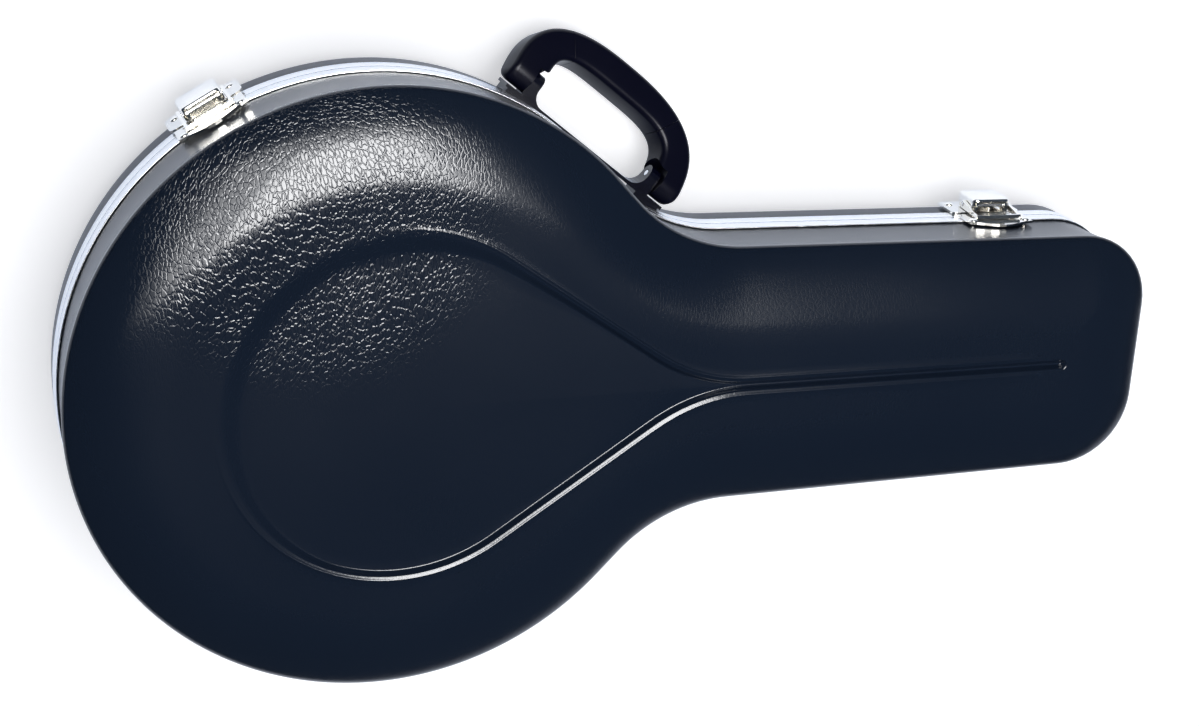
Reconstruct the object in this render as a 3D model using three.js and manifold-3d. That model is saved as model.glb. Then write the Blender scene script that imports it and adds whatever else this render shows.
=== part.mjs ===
// A moulded hard case for a short-necked banjo, lying on its back with the lid uppermost.
// Units are millimetres. +Z is up, +X runs from the round body to the far end of the neck
// and +Y points to the side that carries the handle and the latches.
// The origin is the centre of the round body, on the plane that the case rests on.

import * as THREE from 'three';
import { mergeVertices } from 'three/addons/utils/BufferGeometryUtils.js';
import Module from 'manifold-3d';

const wasm = await Module();
wasm.setup();

const degrees = THREE.MathUtils.degToRad;

// Clearances, overruns and tolerances shared by all pieces
const fitGap = 0.3;
const freeGap = 0.6;
const swingGap = 0.9;
const cutOverrun = 6;
const weldTolerance = 1e-4;

// Steps that round forms are divided into
const pinSides = 12;
const rodSides = 14;
const wideSides = 24;
const cornerSteps = 3;
const arcSteps = 6;
const lobeSteps = 10;
const archSteps = 14;

// Outline of the case, seen from above
const bodyRadius = 190;
const caseReach = 513;
const neckRootHalfWidth = 82.3;
const neckEndHalfWidth = 76.9;
const flankAngle = degrees(42.9);
const flankStraight = 20.2;
const endCornerRadius = 46;

// Heights of the two halves and of the metal valances between them
const baseDepth = 50;
const valanceHeight = 10;
const lidWallHeight = 46.6;
const crownRise = 20.4;
const baseCreaseHeight = 23;
const shellWall = 2.6;
const seamGap = 0.3;

// Rounded shoulders between the side walls and the flat faces
const lidShoulderWidth = 62;
const baseShoulderWidth = 36;
const shoulderPower = 2.4;
const creaseBulge = 1;
const lidLean = 3.2;
const lidLeanStart = 18;
const lidShoulderOut = 2;
const creaseRound = 2.5;
const creaseEase = 0.6;

// Banjo-shaped recess in the lid's face, with its groove along the neck
const reliefBorder = 80;
const reliefCentreShift = 4;
const reliefFlankAngle = degrees(55.5);
const reliefFillet = 110;
const reliefEndBorder = 65;
const grooveHalfWidth = 3.2;
const reliefDepth = 3.6;
const reliefSlope = 3.4;

// Section of a valance: a channel for the shell's edge, and a tongue or a groove at the seam
const valanceProud = 1.4;
const valanceLip = 1.1;
const valanceInnerLip = 1.4;
const valanceWeb = 2.7;
const tongueWidth = 1.5;
const tongueHeight = 1.9;

// Padding inside the base: one bed with a pocket for the pot and the neck
const paddingGap = 0.4;
const bedFloor = 12;
const bedRimDrop = 4;
const pocketBorder = 32;
const pocketFlankAngle = degrees(30);
const pocketFillet = 26;
const neckPocketHalfWidth = 47;
const pocketEndBorder = 22;
const pocketCorner = 8;
const pocketRimRound = 7;
const pocketRimEase = 2.2;
const pocketFloorRound = 3.5;
const bedRimRound = 3;
const neckPadLength = 308;

// Padding inside the lid
const lidPadding = 6;
const lidPaddingDrop = 12;

// Rest for the instrument's neck
const cradleFromEnd = 139;
const cradleLength = 26;
const cradleRise = 8;
const saddleHalfWidth = 20;
const saddleDepth = 17;
const cradleRound = 5;

// Box for small accessories, with its own lid and pull tab
const boxFromCradle = 64;
const boxLength = 70;
const boxHeight = 18;
const boxWall = 3;
const boxSideGap = 0.5;
const boxLidThickness = 3;
const tabWidth = 16;
const tabLength = 20;
const tabOverhang = 7;
const tabThickness = 1.2;
const tabCorner = 5;

// Hinges on the side away from the handle
const hingeSpacing = 76;
const hingeLength = 36;
const hingeStandoff = 6.4;
const hingeBarrelRadius = 3.1;
const hingePinRadius = 1.5;
const hingeLeafHeight = 19;
const hingeLeafThickness = 1.6;
const hingeLeafStart = 3.6;
const hingeRivetRise = 13;
const hingeWebThickness = 2;
const knuckleShares = [0, 0.34, 0.66, 1];
const hingeRivetShares = [0.2, 0.8];

// Latches: a base plate with ears, an over-centre lever, a bail and a strike with a ledge
const bodyLatchAngle = degrees(120.8);
const neckLatchFromEnd = 89;
const latchPlateWidth = 50;
const latchPlateHeight = 25;
const latchPlateThickness = 1.6;
const latchPlateCorner = 4;
const latchPlateDrop = 3;
const earThickness = 1.6;
const earRadius = 2.8;
const earHalfSpan = 11.4;
const earSlant = degrees(60);
const earBackSlant = degrees(30);
const earRootRise = 3.6;
const leverPivotOut = 9;
const latchPinRadius = 1.3;
const leverHalfWidth = 13.5;
const leverWall = 1.2;
const leverNearReach = 3;
const leverFarReach = 21;
const leverCornerRadius = 4;
const leverDome = 1.4;
const leverDomeInset = 3.5;
const domeEdgeShare = 0.33;
const bailPivotDrop = 8;
const bailPivotSetback = 1.4;
const bailArmWidth = 2.4;
const bailArmThickness = 2.2;
const bailEyeRadius = 2.8;
const bailEyeTurn = degrees(162);
const bailSideGap = 0.5;
const bailBarHeight = 2.2;
const strikeWidth = 46;
const strikeHeight = 25;
const strikeThickness = 1.6;
const strikeLobe = 7;
const strikeEdgeGap = 1;
const strikeHoleRadius = 1.7;
const strikeHoleSpacing = 16;
const strikeHoleRise = 3.6;
const strikeRivetDrop = 4;
const ledgeReach = 3.2;
const ledgeThickness = 2;
const ledgeHalfWidth = 9;
const ledgeRise = 10;

// Rivets that hold plates and leaves to the wall
const rivetRadius = 1.6;
const rivetHeadRadius = 2.9;
const rivetHeadHeight = 1.1;
const rivetCrownRadius = 1.7;
const rivetSides = 8;
const plateRivetSpacing = 19;
const plateRivetRise = 6;

// Handle: a bridging bracket with two posts, and a moulded grip that swings on two pins
const handleAngle = degrees(51.7);
const handleEndReach = 1.3;
const handleAxisDrop = 19;
const handleAxisOut = 13.5;
const bracketOverhang = 12.5;
const bracketThickness = 2.3;
const bracketHalfWidth = 8.4;
const footLength = 20;
const footSetback = 2;
const postInner = 47.5;
const postThickness = 8;
const postHalfWidth = 6;
const postFillet = 9;
const gripEndLength = 17;
const gripRise = 48.5;
const gripInnerRise = 27;
const gripInnerStep = 0.7;
const gripOuterPower = 2.6;
const gripInnerPower = 4;
const gripHalfWidth = 10.2;
const gripEdgeRound = 4;
const gripFootRound = 5;
const gripPocketRadius = 11.4;
const gripSeamSetback = 1.5;
const gripSeamTilt = degrees(-32);
const gripPinRadius = 2.2;
const gripPinCover = 5.5;
const gripGroundGap = 0.4;

// Levels and sizes that follow from the ones above
const seamLow = baseDepth - seamGap / 2;
const seamHigh = baseDepth + seamGap / 2;
const baseValanceFoot = baseDepth - valanceHeight;
const lidValanceTop = baseDepth + valanceHeight;
const lidCrease = lidValanceTop + lidWallHeight;
const crownHeight = lidCrease + crownRise;
const baseShellEdge = seamLow - valanceWeb - fitGap;
const lidShellEdge = seamHigh + valanceWeb + fitGap;
const spineEnd = caseReach - lidShoulderWidth;
const valanceBack = shellWall + fitGap + valanceInnerLip;
const reliefRadius = bodyRadius - reliefBorder;
const reliefReach = caseReach - reliefEndBorder;
const bedRim = baseDepth - bedRimDrop;
const potPocketRadius = bodyRadius - pocketBorder;
const pocketReach = caseReach - pocketEndBorder;
const cradleStart = caseReach - cradleFromEnd;
const cradleTop = baseDepth + cradleRise;
const boxEnd = cradleStart - boxFromCradle;
const boxStart = boxEnd - boxLength;
const neckLatchReach = caseReach - neckLatchFromEnd;

const paint = {
  shell: { color: 0x10141c, roughness: 0.42, metalness: 0 },
  valance: { color: 0xd4d7da, roughness: 0.28, metalness: 1 },
  hardware: { color: 0xd6d2c4, roughness: 0.2, metalness: 1 },
  handle: { color: 0x0c0e14, roughness: 0.38, metalness: 0 },
  plush: { color: 0x2a2f4a, roughness: 0.95, metalness: 0 },
  board: { color: 0x20243a, roughness: 0.9, metalness: 0 },
};

// Solids from geometries, and meshes from solids

function solid(geometry) {
  const bare = geometry.index ? geometry.toNonIndexed() : geometry.clone();
  bare.deleteAttribute('normal');
  bare.deleteAttribute('uv');
  const welded = mergeVertices(bare, weldTolerance);
  const corners = welded.index.array;
  const kept = [];
  for (let i = 0; i < corners.length; i += 3) {
    const [a, b, c] = [corners[i], corners[i + 1], corners[i + 2]];
    if (a !== b && b !== c && c !== a) kept.push(a, b, c);
  }
  return new wasm.Manifold(new wasm.Mesh({
    numProp: 3,
    vertProperties: new Float32Array(welded.attributes.position.array),
    triVerts: new Uint32Array(kept),
  }));
}

function pieceMesh(name, body, finish) {
  const { vertProperties, triVerts, numProp } = body.getMesh();
  const positions = new Float32Array((vertProperties.length / numProp) * 3);
  for (let i = 0; i < positions.length / 3; i += 1) {
    for (let axis = 0; axis < 3; axis += 1) positions[i * 3 + axis] = vertProperties[i * numProp + axis];
  }
  const geometry = new THREE.BufferGeometry();
  geometry.setAttribute('position', new THREE.BufferAttribute(positions, 3));
  geometry.setIndex(new THREE.BufferAttribute(new Uint32Array(triVerts), 1));
  geometry.computeVertexNormals();
  const mesh = new THREE.Mesh(geometry, new THREE.MeshStandardMaterial(finish));
  mesh.name = name;
  return mesh;
}

function joined(bodies) {
  return bodies.reduce((whole, body) => whole.add(body));
}

function without(body, cutters) {
  return cutters.reduce((left, cutter) => left.subtract(cutter), body);
}

// Basic forms

function block(low, high) {
  const size = new THREE.Vector3().subVectors(high, low);
  const centre = new THREE.Vector3().addVectors(high, low).multiplyScalar(0.5);
  return new THREE.BoxGeometry(size.x, size.y, size.z).translate(centre.x, centre.y, centre.z);
}

function box(x0, x1, y0, y1, z0, z1) {
  return solid(block(new THREE.Vector3(x0, y0, z0), new THREE.Vector3(x1, y1, z1)));
}

// A rod along X from x0 to x1, centred on (y, z)
function rodAlongX(radius, x0, x1, y, z, sides = rodSides) {
  const form = new THREE.CylinderGeometry(radius, radius, x1 - x0, sides);
  form.rotateZ(-Math.PI / 2).translate((x0 + x1) / 2, y, z);
  return solid(form);
}

function prism(points, z0, z1) {
  const form = new THREE.ExtrudeGeometry(new THREE.Shape(points), { depth: z1 - z0, bevelEnabled: false });
  return form.translate(0, 0, z0);
}

// A prism whose outline lies in the plane of Y and Z and whose length runs along X
function prismAlongX(pointsYZ, x0, x1) {
  const form = prism(pointsYZ, x0, x1);
  const turn = new THREE.Matrix4().makeBasis(
    new THREE.Vector3(0, 1, 0),
    new THREE.Vector3(0, 0, 1),
    new THREE.Vector3(1, 0, 0),
  );
  return solid(form.applyMatrix4(turn));
}

// A prism whose outline lies in the plane of X and Z and whose length runs along Y
function prismAlongY(pointsXZ, y0, y1) {
  const form = prism(pointsXZ, -y1, -y0);
  return solid(form.rotateX(Math.PI / 2));
}

function arc(cx, cy, radius, from, to, steps) {
  const points = [];
  for (let i = 0; i <= steps; i += 1) {
    const angle = from + ((to - from) * i) / steps;
    points.push(new THREE.Vector2(cx + radius * Math.cos(angle), cy + radius * Math.sin(angle)));
  }
  return points;
}

function roundedRectangle(x0, x1, y0, y1, radius, steps = cornerSteps) {
  const quarter = Math.PI / 2;
  return [
    ...arc(x1 - radius, y0 + radius, radius, -quarter, 0, steps),
    ...arc(x1 - radius, y1 - radius, radius, 0, quarter, steps),
    ...arc(x0 + radius, y1 - radius, radius, quarter, 2 * quarter, steps),
    ...arc(x0 + radius, y0 + radius, radius, 2 * quarter, 3 * quarter, steps),
  ];
}

// Outlines with a round bulb and a straight neck

function tangentArc(corner, before, after, radius, steps) {
  const turn = Math.acos(THREE.MathUtils.clamp(before.dot(after), -1, 1));
  const reach = radius * Math.tan(turn / 2);
  const start = corner.clone().addScaledVector(before, -reach);
  const side = Math.sign(before.cross(after)) || 1;
  const toCentre = new THREE.Vector2(-before.y, before.x).multiplyScalar(side);
  const centre = start.clone().addScaledVector(toCentre, radius);
  const first = Math.atan2(start.y - centre.y, start.x - centre.x);
  return arc(centre.x, centre.y, radius, first, first + side * turn, steps);
}

// Upper half from the neck's end on the X axis to the back of the bulb, then mirrored
// The straight flank from the round body, which it touches, to the line of the neck's side
function flankOf(spec) {
  const slope = (spec.endHalfWidth - spec.rootHalfWidth) / (spec.reach - spec.radius);
  const halfWidthAt = (x) => spec.rootHalfWidth + slope * (x - spec.radius);
  const inward = new THREE.Vector2(-1, -slope).normalize();
  const rim = new THREE.Vector2(Math.cos(spec.flankAngle), Math.sin(spec.flankAngle));
  const upFlank = new THREE.Vector2(-rim.y, rim.x);
  const onRim = rim.clone().multiplyScalar(spec.radius);
  const length = (onRim.y - halfWidthAt(onRim.x)) / (upFlank.y - slope * upFlank.x);
  const root = onRim.clone().addScaledVector(upFlank, -length);
  return { halfWidthAt, inward, upFlank, length, root };
}

// The fillet that leaves part of the flank straight: its radius, and how far it lies off the corner
function filletBeside(straight, spec) {
  const { inward, upFlank, length } = flankOf(spec);
  const halfTurn = inward.angleTo(upFlank) / 2;
  const radius = (length - straight) / Math.tan(halfTurn);
  return { radius, rise: radius / Math.cos(halfTurn) - radius };
}

function bulbOutline(spec) {
  const { halfWidthAt, inward, upFlank, root } = flankOf(spec);
  const corner = new THREE.Vector2(spec.reach, halfWidthAt(spec.reach));
  const cornerRadius = Math.min(spec.cornerRadius, spec.endHalfWidth);
  const upward = new THREE.Vector2(0, 1);
  const endArc = tangentArc(corner, upward, inward, cornerRadius, spec.cornerSteps);
  const fillet = tangentArc(root, inward, upFlank, spec.filletRadius, spec.filletSteps);
  const upper = [new THREE.Vector2(spec.reach, 0), ...endArc];
  const neckStart = endArc[endArc.length - 1];
  for (let i = 1; i < spec.neckSteps; i += 1) {
    upper.push(neckStart.clone().lerp(fillet[0], i / spec.neckSteps));
  }
  upper.push(...fillet, ...arc(0, 0, spec.radius, spec.flankAngle, Math.PI, spec.bodySteps));
  const open = upper.filter((p, i) => i === 0 || p.distanceTo(upper[i - 1]) > weldTolerance);
  open[open.length - 1].y = 0;
  const lower = open.slice(1, -1).reverse().map((p) => new THREE.Vector2(p.x, -p.y));
  return [...open, ...lower];
}

// The outline moved outward by a constant distance, or inward where it is negative
function offsetOutline(outline, distance) {
  const count = outline.length;
  return outline.map((point, i) => {
    const before = new THREE.Vector2().subVectors(point, outline[(i + count - 1) % count]).normalize();
    const after = new THREE.Vector2().subVectors(outline[(i + 1) % count], point).normalize();
    const normal = new THREE.Vector2(before.y + after.y, -before.x - after.x);
    return point.clone().addScaledVector(normal, distance / (1 + before.dot(after)));
  });
}

function distanceToOutline(point, outline) {
  const nearest = new THREE.Vector3();
  const line = new THREE.Line3();
  const at = new THREE.Vector3(point.x, point.y, 0);
  let least = Infinity;
  outline.forEach((start, i) => {
    const end = outline[(i + 1) % outline.length];
    line.set(new THREE.Vector3(start.x, start.y, 0), new THREE.Vector3(end.x, end.y, 0));
    line.closestPointToPoint(at, true, nearest);
    least = Math.min(least, nearest.distanceTo(at));
  });
  return least;
}

// One point of the centre line for each point of an outline, so that ribs never cross
function spineOf(outline, spec, endInset) {
  const flankStart = spec.radius * Math.cos(spec.flankAngle);
  const neckStart = spec.radius + spec.filletRadius * Math.sin(spec.flankAngle / 2);
  const last = spec.reach - endInset;
  return outline.map(({ x }) => {
    const spread = ((x - flankStart) / (neckStart - flankStart)) * neckStart;
    const place = x > neckStart ? x : spread;
    return new THREE.Vector2(THREE.MathUtils.clamp(place, 0, last), 0);
  });
}

function atHeight(outline, z) {
  return outline.map((p) => new THREE.Vector3(p.x, p.y, z));
}

// A closed skin over loops of equal length, listed from the lowest up
function skinLoops(loops, closed = false) {
  const positions = [];
  const bands = closed ? loops.length : loops.length - 1;
  for (let k = 0; k < bands; k += 1) {
    const low = loops[k];
    const high = loops[(k + 1) % loops.length];
    low.forEach((a, i) => {
      const next = (i + 1) % low.length;
      for (const corner of [a, low[next], high[next], a, high[next], high[i]]) {
        positions.push(corner.x, corner.y, corner.z);
      }
    });
  }
  const geometry = new THREE.BufferGeometry();
  geometry.setAttribute('position', new THREE.Float32BufferAttribute(positions, 3));
  return solid(geometry);
}

// A tapered tool between an outline's copies at two heights
function taperedTool(outline, spec, low, high) {
  const spine = spineOf(outline, spec, spec.endHalfWidth);
  return skinLoops([
    atHeight(spine, low.z),
    atHeight(offsetOutline(outline, low.out), low.z),
    atHeight(offsetOutline(outline, high.out), high.z),
    atHeight(spine, high.z),
  ]);
}

// A ring that follows the outline with a section of points (outward distance, height)
function outlineRing(outline, section) {
  return skinLoops(section.map(([out, z]) => atHeight(offsetOutline(outline, out), z)), true);
}

// Outlines of the case, of the relief and of the padding's pocket

const caseShape = {
  radius: bodyRadius,
  reach: caseReach,
  rootHalfWidth: neckRootHalfWidth,
  endHalfWidth: neckEndHalfWidth,
  flankAngle,
  cornerRadius: endCornerRadius,
  bodySteps: 16,
  filletSteps: 5,
  neckSteps: 3,
  cornerSteps: 4,
};
const caseFillet = filletBeside(flankStraight, caseShape);
const caseSpec = { ...caseShape, filletRadius: caseFillet.radius };

// The padding follows every second point of the round stretches
const paddingSpec = { ...caseSpec, bodySteps: 8, neckSteps: 2, cornerSteps: 2 };

const reliefSpec = {
  radius: reliefRadius,
  reach: reliefReach,
  rootHalfWidth: grooveHalfWidth,
  endHalfWidth: grooveHalfWidth,
  flankAngle: reliefFlankAngle,
  filletRadius: reliefFillet,
  cornerRadius: grooveHalfWidth,
  bodySteps: 14,
  filletSteps: 6,
  neckSteps: 2,
  cornerSteps: 3,
};

const pocketSpec = {
  radius: potPocketRadius,
  reach: pocketReach,
  rootHalfWidth: neckPocketHalfWidth,
  endHalfWidth: neckPocketHalfWidth,
  flankAngle: pocketFlankAngle,
  filletRadius: pocketFillet,
  cornerRadius: pocketCorner,
  bodySteps: 14,
  filletSteps: 3,
  neckSteps: 1,
  cornerSteps: 3,
};

const caseOutline = bulbOutline(caseSpec);
const paddingOutline = bulbOutline(paddingSpec);
const reliefOutline = bulbOutline(reliefSpec).map((p) => new THREE.Vector2(p.x + reliefCentreShift, p.y));
const pocketOutline = bulbOutline(pocketSpec);
const neckSlope = (neckEndHalfWidth - neckRootHalfWidth) / (caseReach - bodyRadius);

// Shells

// Height above or below a crease at a given inset from the outline
function shoulderShare(inset, width) {
  return 1 - (1 - Math.min(inset, width) / width) ** shoulderPower;
}

function shoulderLoops(outline, inset, crease, rise, width, shares) {
  return shares.map((share) => {
    const depth = share * width;
    return atHeight(offsetOutline(outline, -inset - depth), crease + rise * shoulderShare(depth, width));
  });
}

// Loops between the last shoulder loop and the spine, at the height of the shoulder there
function crownLoops(form, inset, crease, rise, width) {
  const { outline, spec, shares, blendShares } = form;
  const spine = spineOf(outline, spec, lidShoulderWidth);
  const rim = offsetOutline(outline, -inset - shares[shares.length - 1] * width);
  return blendShares.map((blend) => rim.map((point, i) => {
    const place = point.clone().lerp(spine[i], blend);
    const depth = distanceToOutline(place, outline) - inset;
    return new THREE.Vector3(place.x, place.y, crease + rise * shoulderShare(depth, width));
  }));
}

// How finely each skin of the lid and the base is divided
const outerSkin = {
  outline: caseOutline,
  spec: caseSpec,
  shares: [0.045, 0.14, 0.28, 0.46],
  baseShares: [0.06, 0.18, 0.36, 0.62, 1],
  blendShares: [0.2, 0.6, 1],
};
const innerSkin = {
  outline: caseOutline,
  spec: caseSpec,
  shares: [0.08, 0.26, 0.5],
  baseShares: [0.08, 0.4, 1],
  blendShares: [0.4, 1],
};
const paddingSkin = { ...innerSkin, outline: paddingOutline, spec: paddingSpec };
const plushSkin = { ...paddingSkin, shares: [0.3], blendShares: [1] };

// The lid's form: inset is 0 outside, and the wall's thickness for the hollow
function lidForm(skin, inset, foot) {
  const { outline, spec, shares } = skin;
  const lean = lidLean - inset;
  const crease = lidCrease + creaseRound / 2 - inset;
  const shoulderInset = inset - lidShoulderOut;
  const spine = spineOf(outline, spec, lidShoulderWidth);
  const walls = [
    [-inset, foot],
    [-inset, lidValanceTop],
    [creaseBulge / 2 - inset, lidValanceTop + lidLeanStart],
    [lean, lidCrease - creaseRound - inset / 2],
    [lean - creaseEase, lidCrease - inset / 2],
  ].filter(([, z]) => z >= foot);
  const rise = crownHeight - inset - crease;
  return skinLoops([
    atHeight(spine, foot),
    ...walls.map(([out, z]) => atHeight(offsetOutline(outline, out), z)),
    ...shoulderLoops(outline, shoulderInset, crease, rise, lidShoulderWidth, shares),
    ...crownLoops(skin, shoulderInset, crease, rise, lidShoulderWidth),
  ]);
}

// The relief as a cutter that reaches down to a floor, grown sideways by a margin
function reliefTool(floor, margin) {
  const top = crownHeight + cutOverrun;
  const widen = (reliefSlope * (top - floor)) / reliefDepth;
  return taperedTool(
    reliefOutline,
    reliefSpec,
    { out: margin - reliefSlope / 2, z: floor },
    { out: margin - reliefSlope / 2 + widen, z: top },
  );
}

const reliefFloor = crownHeight - reliefDepth;

function lidShell() {
  const hollow = lidForm(innerSkin, shellWall, lidShellEdge - cutOverrun);
  const innerRelief = reliefTool(reliefFloor - shellWall, shellWall);
  const body = lidForm(outerSkin, 0, lidShellEdge);
  return without(body, [reliefTool(reliefFloor, 0), hollow.subtract(innerRelief)]);
}

// The base's form, listed from the flat bottom up to an open rim
function baseForm(skin, inset, rim) {
  const { outline, spec, baseShares } = skin;
  const width = baseShoulderWidth - inset / 2;
  const drop = baseCreaseHeight - inset;
  const spine = spineOf(outline, spec, lidShoulderWidth);
  const shoulder = baseShares.map((share) => {
    const depth = share * width;
    const z = baseCreaseHeight - drop * shoulderShare(depth, width);
    return atHeight(offsetOutline(outline, -inset - depth), z);
  });
  return skinLoops([
    atHeight(spine, baseCreaseHeight - drop),
    ...shoulder.reverse(),
    atHeight(offsetOutline(outline, creaseBulge / 2 - inset), baseCreaseHeight + creaseRound / 2),
    atHeight(offsetOutline(outline, -inset), baseValanceFoot),
    atHeight(offsetOutline(outline, -inset), rim),
    atHeight(spine, rim),
  ]);
}

function baseShell() {
  const hollow = baseForm(innerSkin, shellWall, baseShellEdge + cutOverrun);
  return baseForm(outerSkin, 0, baseShellEdge).subtract(hollow);
}

// Valances: extruded metal rims that grip the shells' edges and key into each other

function baseValance() {
  const channelRoof = baseShellEdge + fitGap;
  const tongueIn = -shellWall / 2 - tongueWidth / 2;
  return outlineRing(caseOutline, [
    [fitGap, baseValanceFoot],
    [valanceProud, baseValanceFoot],
    [valanceProud, seamLow],
    [tongueIn + tongueWidth, seamLow],
    [tongueIn + tongueWidth, seamLow + tongueHeight],
    [tongueIn, seamLow + tongueHeight],
    [tongueIn, seamLow],
    [-valanceBack, seamLow],
    [-valanceBack, baseValanceFoot + valanceLip],
    [-shellWall - fitGap, baseValanceFoot + valanceLip],
    [-shellWall - fitGap, channelRoof],
    [fitGap, channelRoof],
  ]);
}

function lidValance() {
  const channelFloor = lidShellEdge - fitGap;
  const grooveIn = -shellWall / 2 - tongueWidth / 2 - fitGap;
  const grooveOut = grooveIn + tongueWidth + 2 * fitGap;
  return outlineRing(caseOutline, [
    [grooveOut, seamHigh],
    [valanceProud, seamHigh],
    [valanceProud, lidValanceTop],
    [fitGap, lidValanceTop],
    [fitGap, channelFloor],
    [-shellWall - fitGap, channelFloor],
    [-shellWall - fitGap, lidValanceTop - valanceLip],
    [-valanceBack, lidValanceTop - valanceLip],
    [-valanceBack, seamHigh],
    [grooveIn, seamHigh],
    [grooveIn, seamLow + tongueHeight + fitGap],
    [grooveOut, seamLow + tongueHeight + fitGap],
  ]);
}

// Padding

// The bed's two pads, for the round body and for the neck, on either side of a cut across
function bedPads() {
  const bed = bedPadding();
  const joint = caseReach - neckPadLength;
  const wide = 2 * bodyRadius;
  const half = (x0, x1) => bed.intersect(box(x0, x1, -wide, wide, 0, baseDepth));
  return [
    pieceMesh('base_padding', half(-wide, joint), paint.plush),
    pieceMesh('neck_padding', half(joint + fitGap, 2 * caseReach), paint.plush),
  ];
}

function bedPadding() {
  const foot = shellWall + paddingGap;
  const rimInset = valanceBack + paddingGap;
  const { outline, spec, baseShares } = paddingSkin;
  const spine = spineOf(outline, spec, lidShoulderWidth);
  const drop = baseCreaseHeight - foot;
  const width = baseShoulderWidth - foot / 2;
  const shoulder = baseShares.map((share) => {
    const depth = share * width;
    const z = baseCreaseHeight - drop * shoulderShare(depth, width);
    return atHeight(offsetOutline(outline, -rimInset - depth), z);
  });
  const outer = skinLoops([
    atHeight(spine, foot),
    ...shoulder.reverse(),
    atHeight(offsetOutline(outline, -rimInset), bedRim - bedRimRound),
    atHeight(offsetOutline(outline, -rimInset - bedRimRound), bedRim),
    atHeight(spine, bedRim),
  ]);
  const pocketSpine = spineOf(pocketOutline, pocketSpec, pocketSpec.endHalfWidth);
  const pocketLoops = [
    [-pocketFloorRound, bedFloor],
    [0, bedFloor + pocketFloorRound],
    [0, bedRim - pocketRimRound],
    [pocketRimEase, bedRim - pocketRimEase],
    [pocketRimRound, bedRim],
    [pocketRimRound, bedRim + cutOverrun],
  ];
  const pocket = skinLoops([
    atHeight(pocketSpine, bedFloor),
    ...pocketLoops.map(([out, z]) => atHeight(offsetOutline(pocketOutline, out), z)),
    atHeight(pocketSpine, bedRim + cutOverrun),
  ]);
  return outer.subtract(pocket);
}

// The pad follows the lid's hollow, and thins over the recess in the lid's face
function lidPad() {
  const inset = shellWall + paddingGap;
  const foot = lidValanceTop + lidPaddingDrop;
  const outer = lidForm(paddingSkin, inset, foot);
  const inner = lidForm(plushSkin, inset + lidPadding, foot - cutOverrun);
  return without(outer, [reliefTool(reliefFloor - inset, inset), inner]);
}

// Neck rest and accessory box

function neckCradle() {
  const side = neckPocketHalfWidth - boxSideGap;
  const quarter = Math.PI / 2;
  const saddleRim = cradleTop - cradleRound;
  const saddleCentre = cradleTop - saddleDepth + saddleHalfWidth;
  const saddle = arc(0, saddleCentre, saddleHalfWidth, 0, -Math.PI, lobeSteps)
    .filter(({ y }) => y < saddleRim - cradleRound);
  const foot = bedFloor + fitGap;
  const outline = [
    ...arc(side - cradleRound, saddleRim, cradleRound, 0, quarter, cornerSteps),
    new THREE.Vector2(saddleHalfWidth + cradleRound, cradleTop),
    new THREE.Vector2(saddleHalfWidth, saddleRim),
    ...saddle,
    new THREE.Vector2(-saddleHalfWidth, saddleRim),
    new THREE.Vector2(-saddleHalfWidth - cradleRound, cradleTop),
    ...arc(cradleRound - side, saddleRim, cradleRound, quarter, 2 * quarter, cornerSteps),
    new THREE.Vector2(-side, foot + pocketFloorRound),
    new THREE.Vector2(pocketFloorRound - side, foot),
    new THREE.Vector2(side - pocketFloorRound, foot),
    new THREE.Vector2(side, foot + pocketFloorRound),
  ];
  return prismAlongX(outline, cradleStart, cradleStart + cradleLength);
}

const boxHalfWidth = neckPocketHalfWidth - boxSideGap - pocketFloorRound;
const boxFloor = bedFloor + fitGap;
const boxTop = boxFloor + boxHeight;
const boxLidFoot = boxTop + fitGap;
const boxLidTop = boxLidFoot + boxLidThickness;

function accessoryBox() {
  const outer = box(boxStart, boxEnd, -boxHalfWidth, boxHalfWidth, boxFloor, boxTop);
  const hollow = box(
    boxStart + boxWall,
    boxEnd - boxWall,
    boxWall - boxHalfWidth,
    boxHalfWidth - boxWall,
    boxFloor + boxWall,
    boxTop + cutOverrun,
  );
  return outer.subtract(hollow);
}

function accessoryLid() {
  const corner = boxWall;
  return solid(prism(
    roundedRectangle(boxStart, boxEnd - fitGap, -boxHalfWidth, boxHalfWidth, corner),
    boxLidFoot,
    boxLidTop,
  ));
}

function accessoryTab() {
  const low = boxLidTop + fitGap;
  const end = boxStart + tabLength - tabOverhang;
  return solid(prism(
    roundedRectangle(boxStart - tabOverhang, end, -tabWidth / 2, tabWidth / 2, tabCorner),
    low,
    low + tabThickness,
  ));
}

// Hinges: curved leaves on the wall, webs out to a barrel on one straight axis

const hingeAxisY = -bodyRadius - hingeStandoff;

// A piece of the wall's surface, grown outward, between two places along X
function wallBand(out0, out1, x0, x1, z0, z1) {
  const ring = solid(prism(offsetOutline(caseOutline, out1), z0, z1));
  const hole = solid(prism(offsetOutline(caseOutline, out0), z0 - cutOverrun, z1 + cutOverrun));
  const window = box(x0, x1, hingeAxisY - cutOverrun, 0, z0, z1);
  return ring.subtract(hole).intersect(window);
}

// A rivet through a plate: a shank that ends short of the wall, and a domed head
function rivetForms(x, z, wallGap, front) {
  const inHead = front + rivetHeadHeight / 2;
  const shank = new THREE.CylinderGeometry(rivetRadius, rivetRadius, inHead - wallGap, rivetSides);
  const head = new THREE.CylinderGeometry(rivetCrownRadius, rivetHeadRadius, rivetHeadHeight, rivetSides);
  shank.translate(x, (inHead + wallGap) / 2, z);
  head.translate(x, inHead, z);
  return [shank, head];
}

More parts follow.
